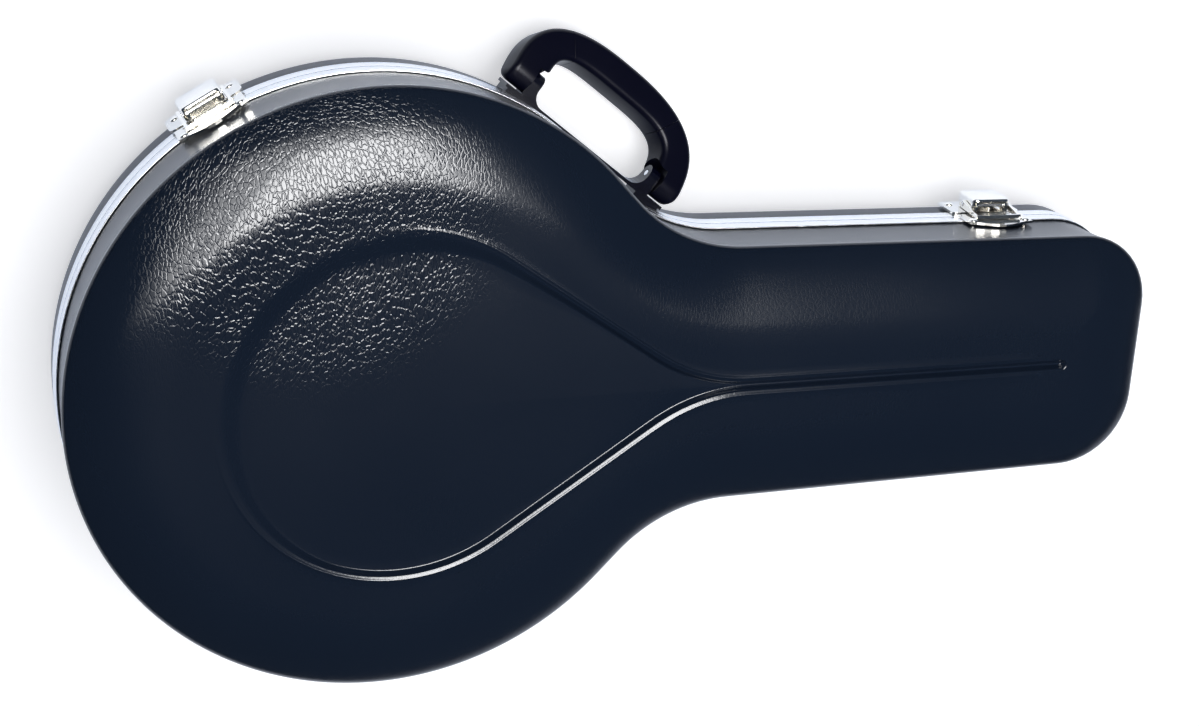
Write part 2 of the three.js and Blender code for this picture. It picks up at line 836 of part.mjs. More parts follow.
function hingeLeaf(centre, side, spans, otherSpans) {
  const x0 = centre - hingeLength / 2;
  const x1 = centre + hingeLength / 2;
  const back = valanceProud + fitGap;
  const near = baseDepth + side * hingeLeafStart;
  const far = near + side * hingeLeafHeight;
  const web = near + side * hingeWebThickness;
  const order = (a, b) => [Math.min(a, b), Math.max(a, b)];
  const leaf = wallBand(back, back + hingeLeafThickness, x0, x1, ...order(near, far));
  const rim = solid(prism(offsetOutline(caseOutline, back), near - valanceHeight, near + valanceHeight));
  const shelf = box(x0, x1, hingeAxisY, 0, ...order(near, web)).subtract(rim);
  const knuckles = spans.map(([a, b]) => rodAlongX(hingeBarrelRadius, a, b, hingeAxisY, baseDepth));
  const armLow = hingeAxisY - hingeBarrelRadius / 2;
  const armHigh = hingeAxisY + hingeBarrelRadius;
  const arms = spans.map(([a, b]) => box(a, b, armLow, armHigh, ...order(baseDepth, web)));
  const clear = otherSpans.map(([a, b]) => rodAlongX(
    hingeBarrelRadius + freeGap,
    a - fitGap,
    b + fitGap,
    hingeAxisY,
    baseDepth,
  ));
  const bore = rodAlongX(hingePinRadius + fitGap, x0 - cutOverrun, x1 + cutOverrun, hingeAxisY, baseDepth);
  const rivets = hingeRivetShares.flatMap((share) => {
    const x = x0 + share * hingeLength;
    const forms = rivetForms(0, near + side * hingeRivetRise, creaseBulge / 2 + fitGap, back + hingeLeafThickness);
    return forms.map((form) => solid(form.translate(0, bodyRadius, 0).rotateZ(Math.PI + Math.asin(x / bodyRadius))));
  });
  const plain = without(joined([leaf, shelf, ...rivets]), clear);
  return without(joined([plain, ...arms, ...knuckles]), [bore]);
}

function hingePieces(name, centre) {
  const place = (share) => centre + (share - 0.5) * hingeLength;
  const spans = [0, 1, 2].map((i) => [
    place(knuckleShares[i]) + (i > 0 ? fitGap : 0),
    place(knuckleShares[i + 1]),
  ]);
  const outer = [spans[0], spans[2]];
  const inner = [spans[1]];
  const pin = rodAlongX(hingePinRadius, place(0), place(1), hingeAxisY, baseDepth);
  return [
    pieceMesh(`${name}_base_leaf`, hingeLeaf(centre, -1, outer, inner), paint.hardware),
    pieceMesh(`${name}_lid_leaf`, hingeLeaf(centre, 1, inner, outer), paint.hardware),
    pieceMesh(`${name}_pin`, pin, paint.hardware),
  ];
}

// Latches, in a frame with X along the rim, Y outward from the wall and Z up

const plateBack = valanceProud + fitGap;
const plateFront = plateBack + latchPlateThickness;
const latchPlateTop = baseDepth - latchPlateDrop;
const leverPivotZ = baseDepth;
const bailPivotY = leverPivotOut - bailPivotSetback;
const bailPivotZ = leverPivotZ - bailPivotDrop;
const leverFaceY = leverPivotOut + earRadius + 2 * fitGap + leverWall + leverDome;
const ledgeTop = seamHigh + ledgeRise + ledgeThickness;
const ledgeFront = plateFront + ledgeReach;

// A pair of rivets at equal distances from the middle of a plate
function plateRivets(z, wallSag) {
  const wallGap = creaseBulge / 2 + fitGap - wallSag;
  const sides = [-1, 1];
  return sides.flatMap((side) => rivetForms(side * plateRivetSpacing, z, wallGap, plateFront)).map(solid);
}

function latchBasePlate(wallSag) {
  const half = latchPlateWidth / 2;
  const low = latchPlateTop - latchPlateHeight;
  const earBackRun = leverPivotOut - earRadius * Math.sin(earBackSlant) - plateFront - fitGap;
  const earBackTop = leverPivotZ + earRadius * Math.cos(earBackSlant);
  const earBackZ = earBackTop - earBackRun * Math.tan(earBackSlant);
  const plate = prismAlongY(
    roundedRectangle(-half, half, low, latchPlateTop, latchPlateCorner),
    plateBack,
    plateFront,
  );
  const profile = [
    new THREE.Vector2(plateBack, bailPivotZ + earRootRise),
    new THREE.Vector2(leverPivotOut, leverPivotZ - earRadius),
    ...arc(leverPivotOut, leverPivotZ, earRadius, -earSlant, Math.PI / 2 + earBackSlant, arcSteps),
    new THREE.Vector2(plateFront + fitGap, earBackZ),
    new THREE.Vector2(plateFront + fitGap, latchPlateTop),
    new THREE.Vector2(plateBack, latchPlateTop),
  ];
  const ears = [-1, 1].map((side) => {
    const outer = side * earHalfSpan;
    const inner = side * (earHalfSpan - earThickness);
    return prismAlongX(profile, Math.min(outer, inner), Math.max(outer, inner));
  });
  const bore = rodAlongX(latchPinRadius + fitGap, -half, half, leverPivotOut, leverPivotZ, pinSides);
  return joined([plate, ...ears, ...plateRivets(low + plateRivetRise, wallSag)]).subtract(bore);
}

// Loops of a rounded rectangle that faces outward, for the lever's skins
function leverLoop(inset, y) {
  const top = leverPivotZ + leverNearReach - inset;
  const low = leverPivotZ - leverFarReach + inset;
  const half = leverHalfWidth - inset;
  const face = roundedRectangle(-half, half, low, top, leverCornerRadius - inset / 2);
  return face.map((p) => new THREE.Vector3(p.x, y, p.y)).reverse();
}

// Takes the skirts' near corners back to a round about the pivot, so that the lever can swing
function nearSideRelief() {
  const half = leverHalfWidth + cutOverrun;
  const radius = leverPivotOut - plateFront - freeGap;
  const top = leverPivotZ + leverNearReach + cutOverrun;
  const corner = box(-half, half, plateBack, leverPivotOut, leverPivotZ, top);
  return corner.subtract(rodAlongX(radius, -half, half, leverPivotOut, leverPivotZ, wideSides));
}

// A domed cap with skirts on three sides, open towards the wall
function latchLever() {
  const top = leverPivotZ + leverNearReach;
  const middleZ = leverPivotZ + (leverNearReach - leverFarReach) / 2;
  const middle = (y) => leverLoop(0, y).map(() => new THREE.Vector3(0, y, middleZ));
  const skirtFoot = plateFront + swingGap;
  const roofEdge = leverFaceY - leverDome;
  const outer = skinLoops([
    middle(skirtFoot),
    leverLoop(0, skirtFoot),
    leverLoop(0, roofEdge),
    leverLoop(leverDomeInset * domeEdgeShare, leverFaceY - leverDome * domeEdgeShare),
    leverLoop(leverDomeInset, leverFaceY),
    middle(leverFaceY),
  ]);
  const hollow = skinLoops([
    middle(skirtFoot - cutOverrun),
    leverLoop(leverWall, skirtFoot - cutOverrun),
    leverLoop(leverWall, roofEdge - leverWall),
    leverLoop(leverWall + leverDomeInset / 2, leverFaceY - leverWall),
    middle(leverFaceY - leverWall),
  ]);
  const inside = leverHalfWidth - leverWall;
  const nearCut = box(-inside, inside, plateBack, roofEdge - leverWall, leverPivotZ, top + cutOverrun);
  const half = leverHalfWidth + cutOverrun;
  const bore = latchPinRadius + fitGap;
  const pivotBore = rodAlongX(bore, -half, half, leverPivotOut, leverPivotZ, pinSides);
  const bailBore = rodAlongX(bore, -half, half, bailPivotY, bailPivotZ, pinSides);
  return without(outer, [hollow, nearCut, nearSideRelief(), pivotBore, bailBore]);
}

// A loop of two arms and a cross bar that bears on the strike's ledge
function latchBail() {
  const inner = leverHalfWidth + bailSideGap;
  const outer = inner + bailArmThickness;
  const barY0 = plateFront + freeGap;
  const barY1 = barY0 + bailArmWidth;
  const barZ0 = ledgeTop + fitGap;
  const barZ1 = barZ0 + bailBarHeight;
  const arm = [
    ...arc(bailPivotY, bailPivotZ, bailEyeRadius, -bailEyeTurn, bailEyeTurn - Math.PI, arcSteps),
    new THREE.Vector2(barY1, barZ0),
    new THREE.Vector2(barY1, barZ1),
    new THREE.Vector2(barY0, barZ1),
    new THREE.Vector2(barY0, barZ0),
  ];
  const arms = [-1, 1].map((side) => prismAlongX(
    arm,
    Math.min(side * inner, side * outer),
    Math.max(side * inner, side * outer),
  ));
  const bar = box(-outer, outer, barY0, barY1, barZ0, barZ1);
  const end = outer + cutOverrun;
  const bore = rodAlongX(latchPinRadius + fitGap, -end, end, bailPivotY, bailPivotZ, pinSides);
  return joined([...arms, bar]).subtract(bore);
}

// A plate with a wavy upper edge, two holes and a ledge for the bail
function latchStrike(wallSag) {
  const half = strikeWidth / 2;
  const low = seamHigh + strikeEdgeGap;
  const high = low + strikeHeight;
  const wave = [];
  for (let i = 0; i <= lobeSteps; i += 1) {
    const share = i / lobeSteps;
    const lift = strikeLobe * Math.sin(Math.PI * share) ** 2;
    wave.push(new THREE.Vector2(half - strikeWidth * share, high - strikeLobe + lift));
  }
  const outline = [new THREE.Vector2(-half, low), new THREE.Vector2(half, low), ...wave];
  const plate = prismAlongY(outline, plateBack, plateFront);
  const ledge = box(
    -ledgeHalfWidth,
    ledgeHalfWidth,
    plateBack,
    ledgeFront,
    ledgeTop - ledgeThickness,
    ledgeTop,
  );
  const holes = [-1, 1].map((side) => {
    const form = new THREE.CylinderGeometry(strikeHoleRadius, strikeHoleRadius, cutOverrun, pinSides);
    return solid(form.translate(side * strikeHoleSpacing, plateFront, low + strikeHoleRise));
  });
  const rivets = plateRivets(high - strikeLobe - strikeRivetDrop, wallSag);
  return without(joined([plate, ledge, ...rivets]), holes);
}

function latchPieces(name, place, angle, wallSag) {
  const latch = new THREE.Group();
  latch.position.set(place.x, place.y, 0);
  latch.rotation.z = angle - Math.PI / 2;
  const reach = leverHalfWidth + bailSideGap + bailArmThickness;
  const leverPin = rodAlongX(
    latchPinRadius,
    -leverHalfWidth,
    leverHalfWidth,
    leverPivotOut,
    leverPivotZ,
    pinSides,
  );
  const bailPin = rodAlongX(latchPinRadius, -reach, reach, bailPivotY, bailPivotZ, pinSides);
  latch.add(
    pieceMesh(`${name}_base_plate`, latchBasePlate(wallSag), paint.hardware),
    pieceMesh(`${name}_lever`, latchLever(), paint.hardware),
    pieceMesh(`${name}_bail`, latchBail(), paint.hardware),
    pieceMesh(`${name}_lever_pin`, leverPin, paint.hardware),
    pieceMesh(`${name}_bail_pin`, bailPin, paint.hardware),
    pieceMesh(`${name}_strike`, latchStrike(wallSag), paint.hardware),
  );
  return latch;
}

// Handle, in a frame with X along the bracket, Y outward from it and Z up

const handleAxisHeight = baseDepth - handleAxisDrop;
const postOuter = postInner + postThickness;
const bracketHalfLength = postOuter + bracketOverhang;
const gripHalfLength = postOuter + gripEndLength;
const gripInnerHalfLength = postInner + gripInnerStep;
const gripSeamAlong = postInner - gripSeamSetback;
const gripPinReach = gripHalfLength - gripPinCover;
const handleLineEnd = (bodyRadius * Math.sin(handleAngle) - neckRootHalfWidth) / Math.cos(handleAngle);
const handleCentreAlong = handleLineEnd - caseFillet.rise + handleEndReach - gripHalfLength;
const footEnd = handleCentreAlong + bracketHalfLength;
const footDepth = bodyRadius - Math.sqrt(bodyRadius ** 2 - footEnd ** 2);

function handlePlace(along, out, height) {
  const outward = new THREE.Vector3(Math.cos(handleAngle), Math.sin(handleAngle), 0);
  const right = new THREE.Vector3(outward.y, -outward.x, 0);
  return new THREE.Vector3(0, 0, height)
    .addScaledVector(outward, bodyRadius + out)
    .addScaledVector(right, along);
}

function handleFrame() {
  const frame = new THREE.Group();
  const place = handlePlace(handleCentreAlong, 0, handleAxisHeight);
  frame.position.copy(place);
  frame.rotation.z = handleAngle - Math.PI / 2;
  frame.updateMatrixWorld(true);
  return frame;
}

// The round fillet between a post's inner face and the strip
function postFilletSolid(side, face) {
  const x = side * postInner;
  const centreX = x - side * postFillet;
  const centreY = face + postFillet;
  const quarter = Math.PI / 2;
  const curve = arc(centreX, centreY, postFillet, -quarter, side > 0 ? 0 : -2 * quarter, arcSteps);
  const inPost = x + side * (postThickness / 2);
  const inStrip = face - bracketThickness / 2;
  const corner = [
    new THREE.Vector2(inPost, centreY),
    new THREE.Vector2(inPost, inStrip),
    new THREE.Vector2(centreX, inStrip),
  ];
  const points = [...curve, ...corner];
  return solid(prism(side > 0 ? points.reverse() : points, -postHalfWidth, postHalfWidth));
}

function handleBracket(frame) {
  const back = fitGap;
  const face = back + bracketThickness;
  const strip = box(-bracketHalfLength, bracketHalfLength, back, face, -bracketHalfWidth, bracketHalfWidth);
  const post = [
    new THREE.Vector2(back, -postHalfWidth),
    ...arc(handleAxisOut, 0, postHalfWidth, -Math.PI / 2, Math.PI / 2, arcSteps),
    new THREE.Vector2(back, postHalfWidth),
  ];
  const sides = [-1, 1];
  const posts = sides.map((side) => {
    const near = side * postInner;
    const far = side * postOuter;
    return prismAlongX(post, Math.min(near, far), Math.max(near, far));
  });
  const feet = sides.map((side) => {
    const outerEnd = side * (bracketHalfLength - footSetback);
    const innerEnd = side * (bracketHalfLength - footSetback - footLength);
    return box(
      Math.min(outerEnd, innerEnd),
      Math.max(outerEnd, innerEnd),
      -footDepth,
      face - bracketThickness / 2,
      -bracketHalfWidth,
      bracketHalfWidth,
    );
  });
  const toFrame = frame.matrixWorld.clone().invert();
  const wall = baseForm(outerSkin, -fitGap, baseShellEdge).transform(toFrame.elements);
  const end = bracketHalfLength + cutOverrun;
  const bore = rodAlongX(gripPinRadius + fitGap, -end, end, handleAxisOut, 0);
  const fillets = sides.map((side) => postFilletSolid(side, face));
  return without(joined([strip, ...posts, ...fillets, ...feet]), [wall, bore]);
}

// A superellipse's upper half from one end to the other
function halfArch(halfLength, rise, power) {
  const shape = (value) => Math.sign(value) * Math.abs(value) ** (2 / power);
  const points = [];
  for (let i = 0; i <= archSteps; i += 1) {
    const angle = (Math.PI * i) / archSteps;
    points.push(new THREE.Vector2(halfLength * shape(Math.cos(angle)), rise * shape(Math.sin(angle))));
  }
  return points;
}

// The grip's side view: an arch between two superellipses, with end blocks that reach below the pins
function gripProfile() {
  const outer = halfArch(gripHalfLength, gripRise, gripOuterPower);
  const inner = halfArch(gripInnerHalfLength, gripInnerRise, gripInnerPower).reverse();
  const quarter = Math.PI / 2;
  const footX = gripHalfLength - gripFootRound;
  const footY = gripFootRound - gripHalfWidth;
  return [
    ...outer,
    ...arc(-footX, footY, gripFootRound, -2 * quarter, -quarter, cornerSteps),
    new THREE.Vector2(-gripInnerHalfLength, -gripHalfWidth),
    ...inner,
    new THREE.Vector2(gripInnerHalfLength, -gripHalfWidth),
    ...arc(footX, footY, gripFootRound, -quarter, 0, cornerSteps),
  ];
}

function gripForm() {
  const round = gripEdgeRound;
  const form = new THREE.ExtrudeGeometry(new THREE.Shape(gripProfile()), {
    depth: 2 * (gripHalfWidth - round),
    bevelEnabled: true,
    bevelThickness: round,
    bevelSize: round,
    bevelOffset: -round,
    bevelSegments: 2,
  });
  return solid(form.translate(0, 0, round - gripHalfWidth));
}

// Room for the posts and the pins, and round bottoms that clear the bracket as the grip swings
function gripBody() {
  const end = gripHalfLength + cutOverrun;
  const pinEnd = gripPinReach + fitGap;
  const wide = gripHalfWidth + cutOverrun;
  const pockets = [-1, 1].map((side) => {
    const near = side * (postInner - gripHalfWidth);
    const far = side * (postOuter + freeGap);
    return rodAlongX(gripPocketRadius, Math.min(near, far), Math.max(near, far), 0, 0, wideSides);
  });
  const belowAxis = box(-end, end, -wide, 0, -wide, wide)
    .subtract(rodAlongX(gripHalfWidth, -end, end, 0, 0, wideSides));
  const bore = rodAlongX(gripPinRadius + fitGap, -pinEnd, pinEnd, 0, 0);
  return without(gripForm(), [...pockets, belowAxis, bore]);
}

// Half-space boxes on either side of the two slanted seams
function seamBox(side, outward, gap) {
  const reach = 2 * gripHalfLength;
  const x0 = outward ? gap : -reach;
  const x1 = outward ? reach : -gap;
  const form = block(new THREE.Vector3(x0, -reach, -reach), new THREE.Vector3(x1, reach, reach));
  form.rotateZ(gripSeamTilt);
  form.translate(gripSeamAlong, (gripRise + gripInnerRise) / 2, 0);
  if (side < 0) form.rotateY(Math.PI);
  return solid(form);
}

function handlePieces() {
  const frame = handleFrame();
  const grip = gripBody();
  const gap = fitGap / 2;
  const middle = grip.intersect(seamBox(1, false, gap)).intersect(seamBox(-1, false, gap));
  const ends = [-1, 1].map((side) => grip.intersect(seamBox(side, true, gap)));
  const swing = new THREE.Group();
  swing.position.set(0, handleAxisOut, 0);
  swing.rotation.x = -handleDroop();
  swing.add(
    pieceMesh('handle_grip', middle, paint.handle),
    pieceMesh('handle_end_left', ends[0], paint.handle),
    pieceMesh('handle_end_right', ends[1], paint.handle),
  );
  const pins = [-1, 1].map((side) => {
    const near = side * postInner;
    const far = side * gripPinReach;
    return rodAlongX(gripPinRadius, Math.min(near, far), Math.max(near, far), handleAxisOut, 0);
  });
  frame.add(
    pieceMesh('handle_bracket', handleBracket(frame), paint.handle),
    pieceMesh('handle_pin_left', pins[0], paint.hardware),
    pieceMesh('handle_pin_right', pins[1], paint.hardware),
    swing,
  );
  return frame;
}

// The angle at which the free grip, hanging from its pins, lies on the ground
function handleDroop() {
  const flat = gripHalfWidth - gripEdgeRound;
  const far = Math.hypot(gripRise - gripEdgeRound, flat);
  const drop = handleAxisHeight - gripGroundGap - gripEdgeRound;
  return Math.asin(drop / far) - Math.atan2(flat, gripRise - gripEdgeRound);
}

// The whole case

const bodyLatchPlace = new THREE.Vector2(Math.cos(bodyLatchAngle), Math.sin(bodyLatchAngle))
  .multiplyScalar(bodyRadius);
const bodyLatchSag = bodyRadius - Math.sqrt(bodyRadius ** 2 - plateRivetSpacing ** 2);
const neckLatchPlace = new THREE.Vector2(
  neckLatchReach,
  neckRootHalfWidth + neckSlope * (neckLatchReach - bodyRadius),
);

const banjoCase = new THREE.Group();
banjoCase.add(
  pieceMesh('base_shell', baseShell(), paint.shell),
  pieceMesh('base_valance', baseValance(), paint.valance),
  pieceMesh('lid_shell', lidShell(), paint.shell),
  pieceMesh('lid_valance', lidValance(), paint.valance),
  ...bedPads(),
  pieceMesh('lid_padding', lidPad(), paint.plush),
  pieceMesh('neck_cradle', neckCradle(), paint.plush),
  pieceMesh('accessory_box', accessoryBox(), paint.board),
  pieceMesh('accessory_lid', accessoryLid(), paint.board),
  pieceMesh('accessory_tab', accessoryTab(), paint.handle),
  ...hingePieces('hinge_left', -hingeSpacing / 2),
  ...hingePieces('hinge_right', hingeSpacing / 2),
  latchPieces('body_latch', bodyLatchPlace, bodyLatchAngle, bodyLatchSag),
  latchPieces('neck_latch', neckLatchPlace, Math.PI / 2 + Math.atan(neckSlope), 0),
  handlePieces(),
);

export default banjoCase;
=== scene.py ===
"""Dresses the banjo case: a moulded case with metal rims, latches, hinges and a handle."""

import logging
import math
from dataclasses import dataclass
from enum import Enum
from typing import Sequence

import bmesh
import bpy
import numpy as np
from mathutils import Matrix, Vector, noise


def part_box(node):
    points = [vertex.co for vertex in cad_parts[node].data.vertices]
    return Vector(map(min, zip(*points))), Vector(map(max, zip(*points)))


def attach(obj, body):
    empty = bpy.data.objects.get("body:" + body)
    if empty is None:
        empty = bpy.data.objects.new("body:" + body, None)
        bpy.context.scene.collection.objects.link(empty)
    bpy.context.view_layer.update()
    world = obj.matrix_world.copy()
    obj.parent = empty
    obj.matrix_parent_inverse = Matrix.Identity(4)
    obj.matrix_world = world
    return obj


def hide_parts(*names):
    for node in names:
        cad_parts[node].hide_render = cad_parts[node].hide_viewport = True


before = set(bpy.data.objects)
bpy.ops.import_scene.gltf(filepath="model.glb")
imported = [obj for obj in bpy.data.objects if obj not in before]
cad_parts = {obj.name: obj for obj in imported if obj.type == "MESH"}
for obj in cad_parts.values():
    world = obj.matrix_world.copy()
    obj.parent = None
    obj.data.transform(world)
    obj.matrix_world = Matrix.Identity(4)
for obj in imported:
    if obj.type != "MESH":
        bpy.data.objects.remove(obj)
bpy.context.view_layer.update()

log = logging.getLogger("banjo_case")

MM = 0.001
WELD = 1e-6
SLACK = 1e-6
TINY = 1e-9
PARALLEL = 1e-12
SMOOTH_ANGLE = math.radians(38)
CUT_ANGLE = 50.0
RIVET_RADIUS = 3.05
RIVET_RISE = 1.45
PIN_TIP = 0.02
PIN_DOME = 0.3
PIN_SIDES = 28
FOAM_PITCH = 42.0
Array = np.ndarray
Piece = bpy.types.Object
Pair = tuple[float, float]
Triple = tuple[float, float, float]
Colour = Triple
Rows = list[Pair]


# Shader nodes


class Socket:
    """A node's output that takes arithmetic and gives sockets back."""

    def __init__(self, shader: "Shader", output: bpy.types.NodeSocket) -> None:
        """Wraps an output of one shader's node."""
        self.shader = shader
        self.output = output

    def _with(self, operation: str, *values: "Socket | float") -> "Socket":
        """One Math node on sockets and numbers."""
        return self.shader.math(operation, *values)

    def __add__(self, other: "Socket | float") -> "Socket":
        """The sum."""
        return self._with("ADD", self, other)

    __radd__ = __add__

    def __sub__(self, other: "Socket | float") -> "Socket":
        """The difference."""
        return self._with("SUBTRACT", self, other)

    def __rsub__(self, other: "Socket | float") -> "Socket":
        """The difference, where the socket is taken away."""
        return self._with("SUBTRACT", other, self)

    def __mul__(self, other: "Socket | float") -> "Socket":
        """The product."""
        return self._with("MULTIPLY", self, other)

    __rmul__ = __mul__


class Nodes:
    """A node tree that is filled from code."""

    def __init__(self, tree: bpy.types.NodeTree) -> None:
        """Takes a node tree and empties it."""
        self.tree = tree
        tree.nodes.clear()

    def node(
        self, kind: str, settings: dict | None = None, **inputs: object
    ) -> bpy.types.Node:
        """Makes a node.

        Args:
            kind: The node's type name.
            settings: Values of the node's own properties.
            **inputs: Values or sockets by input name, with underscores for spaces.

        Returns:
            The node.
        """
        made = self.tree.nodes.new(kind)
        for key, value in (settings or {}).items():
            setattr(made, key, value)
        for key, value in inputs.items():
            self.connect(made.inputs[key.replace("_", " ")], value)
        return made

    def connect(self, target: bpy.types.NodeSocket, value: object) -> None:
        """Links a socket to an input, or sets the input's value.

        Args:
            target: The input.
            value: A socket, a colour or another value.
        """
        if isinstance(value, Socket):
            value = value.output
        if isinstance(value, bpy.types.NodeSocket):
            self.tree.links.new(value, target)
        elif isinstance(value, tuple) and len(value) == 3 and target.type == "RGBA":
            target.default_value = (*value, 1.0)
        else:
            target.default_value = value


class Shader(Nodes):
    """One material's node tree around a Principled shader."""

    def __init__(self, name: str) -> None:
        """Makes a material with a Principled shader.

        Args:
            name: Its name.
        """
        self.material = bpy.data.materials.new(name)
        self.material.use_nodes = True
        super().__init__(self.material.node_tree)
        self.surface = self.node("ShaderNodeBsdfPrincipled")
        output = self.node("ShaderNodeOutputMaterial")
        self.tree.links.new(self.surface.outputs["BSDF"], output.inputs["Surface"])
        self.place = Socket(self, self.node("ShaderNodeTexCoord").outputs["Object"])

    def set(self, **inputs: object) -> None:
        """Sets inputs of the Principled shader, with underscores for spaces."""
        for key, value in inputs.items():
            self.connect(self.surface.inputs[key.replace("_", " ")], value)

    def math(self, operation: str, *values: Socket | float) -> Socket:
        """One Math node.

        Args:
            operation: The node's operation.
            *values: Sockets or numbers.

        Returns:
            The result.
        """
        made = self.node("ShaderNodeMath", {"operation": operation})
        for target, value in zip(made.inputs, values):
            self.connect(target, value)
        return Socket(self, made.outputs[0])

    def ramp(
        self, value: Socket, low: float, high: float, to_low: float, to_high: float
    ) -> Socket:
        """Maps a range of a value onto another range, smoothly and clamped.

        Args:
            value: The value to map.
            low: The value that gives to_low.
            high: The value that gives to_high.
            to_low: The result at low.
            to_high: The result at high.

        Returns:
            The mapped value.
        """
        made = self.node("ShaderNodeMapRange", {"interpolation_type": "SMOOTHSTEP"})
        for target, item in zip(made.inputs, (value, low, high, to_low, to_high)):
            self.connect(target, item)
        return Socket(self, made.outputs[0])

    def axis(self, index: int) -> Socket:
        """One of the object's own coordinates, in metres."""
        made = self.node("ShaderNodeSeparateXYZ", Vector=self.place)
        return Socket(self, made.outputs[index])

    def distance(self, point: Sequence[float]) -> Socket:
        """The distance from a point of the object's own space, in metres.

        Args:
            point: The point.

        Returns:
            The distance.
        """
        made = self.node("ShaderNodeVectorMath", {"operation": "DISTANCE"})
        self.connect(made.inputs[0], self.place)
        made.inputs[1].default_value = tuple(point)
        return Socket(self, made.outputs["Value"])

    def stretched(self, scale: Sequence[float], place: Socket | None = None) -> Socket:
        """A place, by default the object's own coordinates, times a scale for each axis.

        Args:
            scale: The three scales.
            place: The place, where it isn't the object's own.

        Returns:
            The stretched place.
        """
        made = self.node("ShaderNodeVectorMath", {"operation": "MULTIPLY"})
        self.connect(made.inputs[0], place or self.place)
        made.inputs[1].default_value = tuple(scale)
        return Socket(self, made.outputs[0])

    def shifted(self, place: Socket, offset: Socket, amount: float) -> Socket:
        """A place pushed along a colour's channels, for warped patterns.

        Args:
            place: The place.
            offset: The colour.
            amount: How far it pushes.

        Returns:
            The shifted place.
        """
        made = self.node("ShaderNodeVectorMath", {"operation": "MULTIPLY_ADD"})
        self.connect(made.inputs[0], offset)
        made.inputs[1].default_value = (amount, amount, amount)
        self.connect(made.inputs[2], place)
        return Socket(self, made.outputs[0])

    def noise(
        self, place: Socket, scale: float, detail: float = 2.0, rough: float = 0.5
    ) -> Socket:
        """A noise pattern's value.

        Args:
            place: Where it is read.
            scale: Its scale.
            detail: Its finer layers.
            rough: How strong those are.

        Returns:
            The value.
        """
        made = self.node(
            "ShaderNodeTexNoise", Vector=place, Scale=scale, Detail=detail, Roughness=rough
        )
        return Socket(self, made.outputs[0])

    def noise_colour(self, place: Socket, scale: float) -> Socket:
        """A noise pattern's colour, used as three offsets."""
        made = self.node("ShaderNodeTexNoise", Vector=place, Scale=scale, Detail=1.0)
        return Socket(self, made.outputs[1])

    def cells(self, place: Socket) -> Socket:
        """The distance to the nearest edge in a pattern of cells of size one.

        Args:
            place: Where it is read.

        Returns:
            The distance.
        """
        settings = {"feature": "DISTANCE_TO_EDGE"}
        made = self.node("ShaderNodeTexVoronoi", settings, Vector=place, Scale=1.0)
        return Socket(self, made.outputs["Distance"])

    def blend(self, factor: Socket | float, low: Colour | Socket, high: Colour | Socket) -> Socket:
        """A mix of two colours.

        Args:
            factor: The second colour's share.
            low: The first colour.
            high: The second colour.

        Returns:
            The mixed colour.
        """
        made = self.node("ShaderNodeMix", {"data_type": "RGBA"})
        self.connect(made.inputs[0], factor)
        self.connect(made.inputs[6], low)
        self.connect(made.inputs[7], high)
        return Socket(self, made.outputs[2])

    def bump(self, height: Socket, depth: float, strength: float = 1.0) -> Socket:
        """A normal for a height from nought to one over a depth in metres."""
        made = self.node("ShaderNodeBump", Strength=strength, Distance=depth, Height=height)
        return Socket(self, made.outputs[0])


# Finishes


@dataclass(frozen=True)
class Finish:
    """A surface of one colour.

    Attributes:
        name: The material's name.
        colour: The base colour.
        roughness: The base roughness.
        metallic: Nought for plastics and cloth, one for metal.
    """

    name: str
    colour: Colour
    roughness: float
    metallic: float = 0.0

    def build(self) -> bpy.types.Material:
        """Makes the material, or finds it again by its name.

        Returns:
            The material.
        """
        name = f"{self.name}_finish"
        made = bpy.data.materials.get(name)
        if made is None:
            shader = Shader(name)
            shader.set(Base_Color=self.colour, Roughness=self.roughness, Metallic=self.metallic)
            self.dress(shader)
            made = shader.material
        return made

    def dress(self, shader: Shader) -> None:
        """Adds what varies over the surface."""


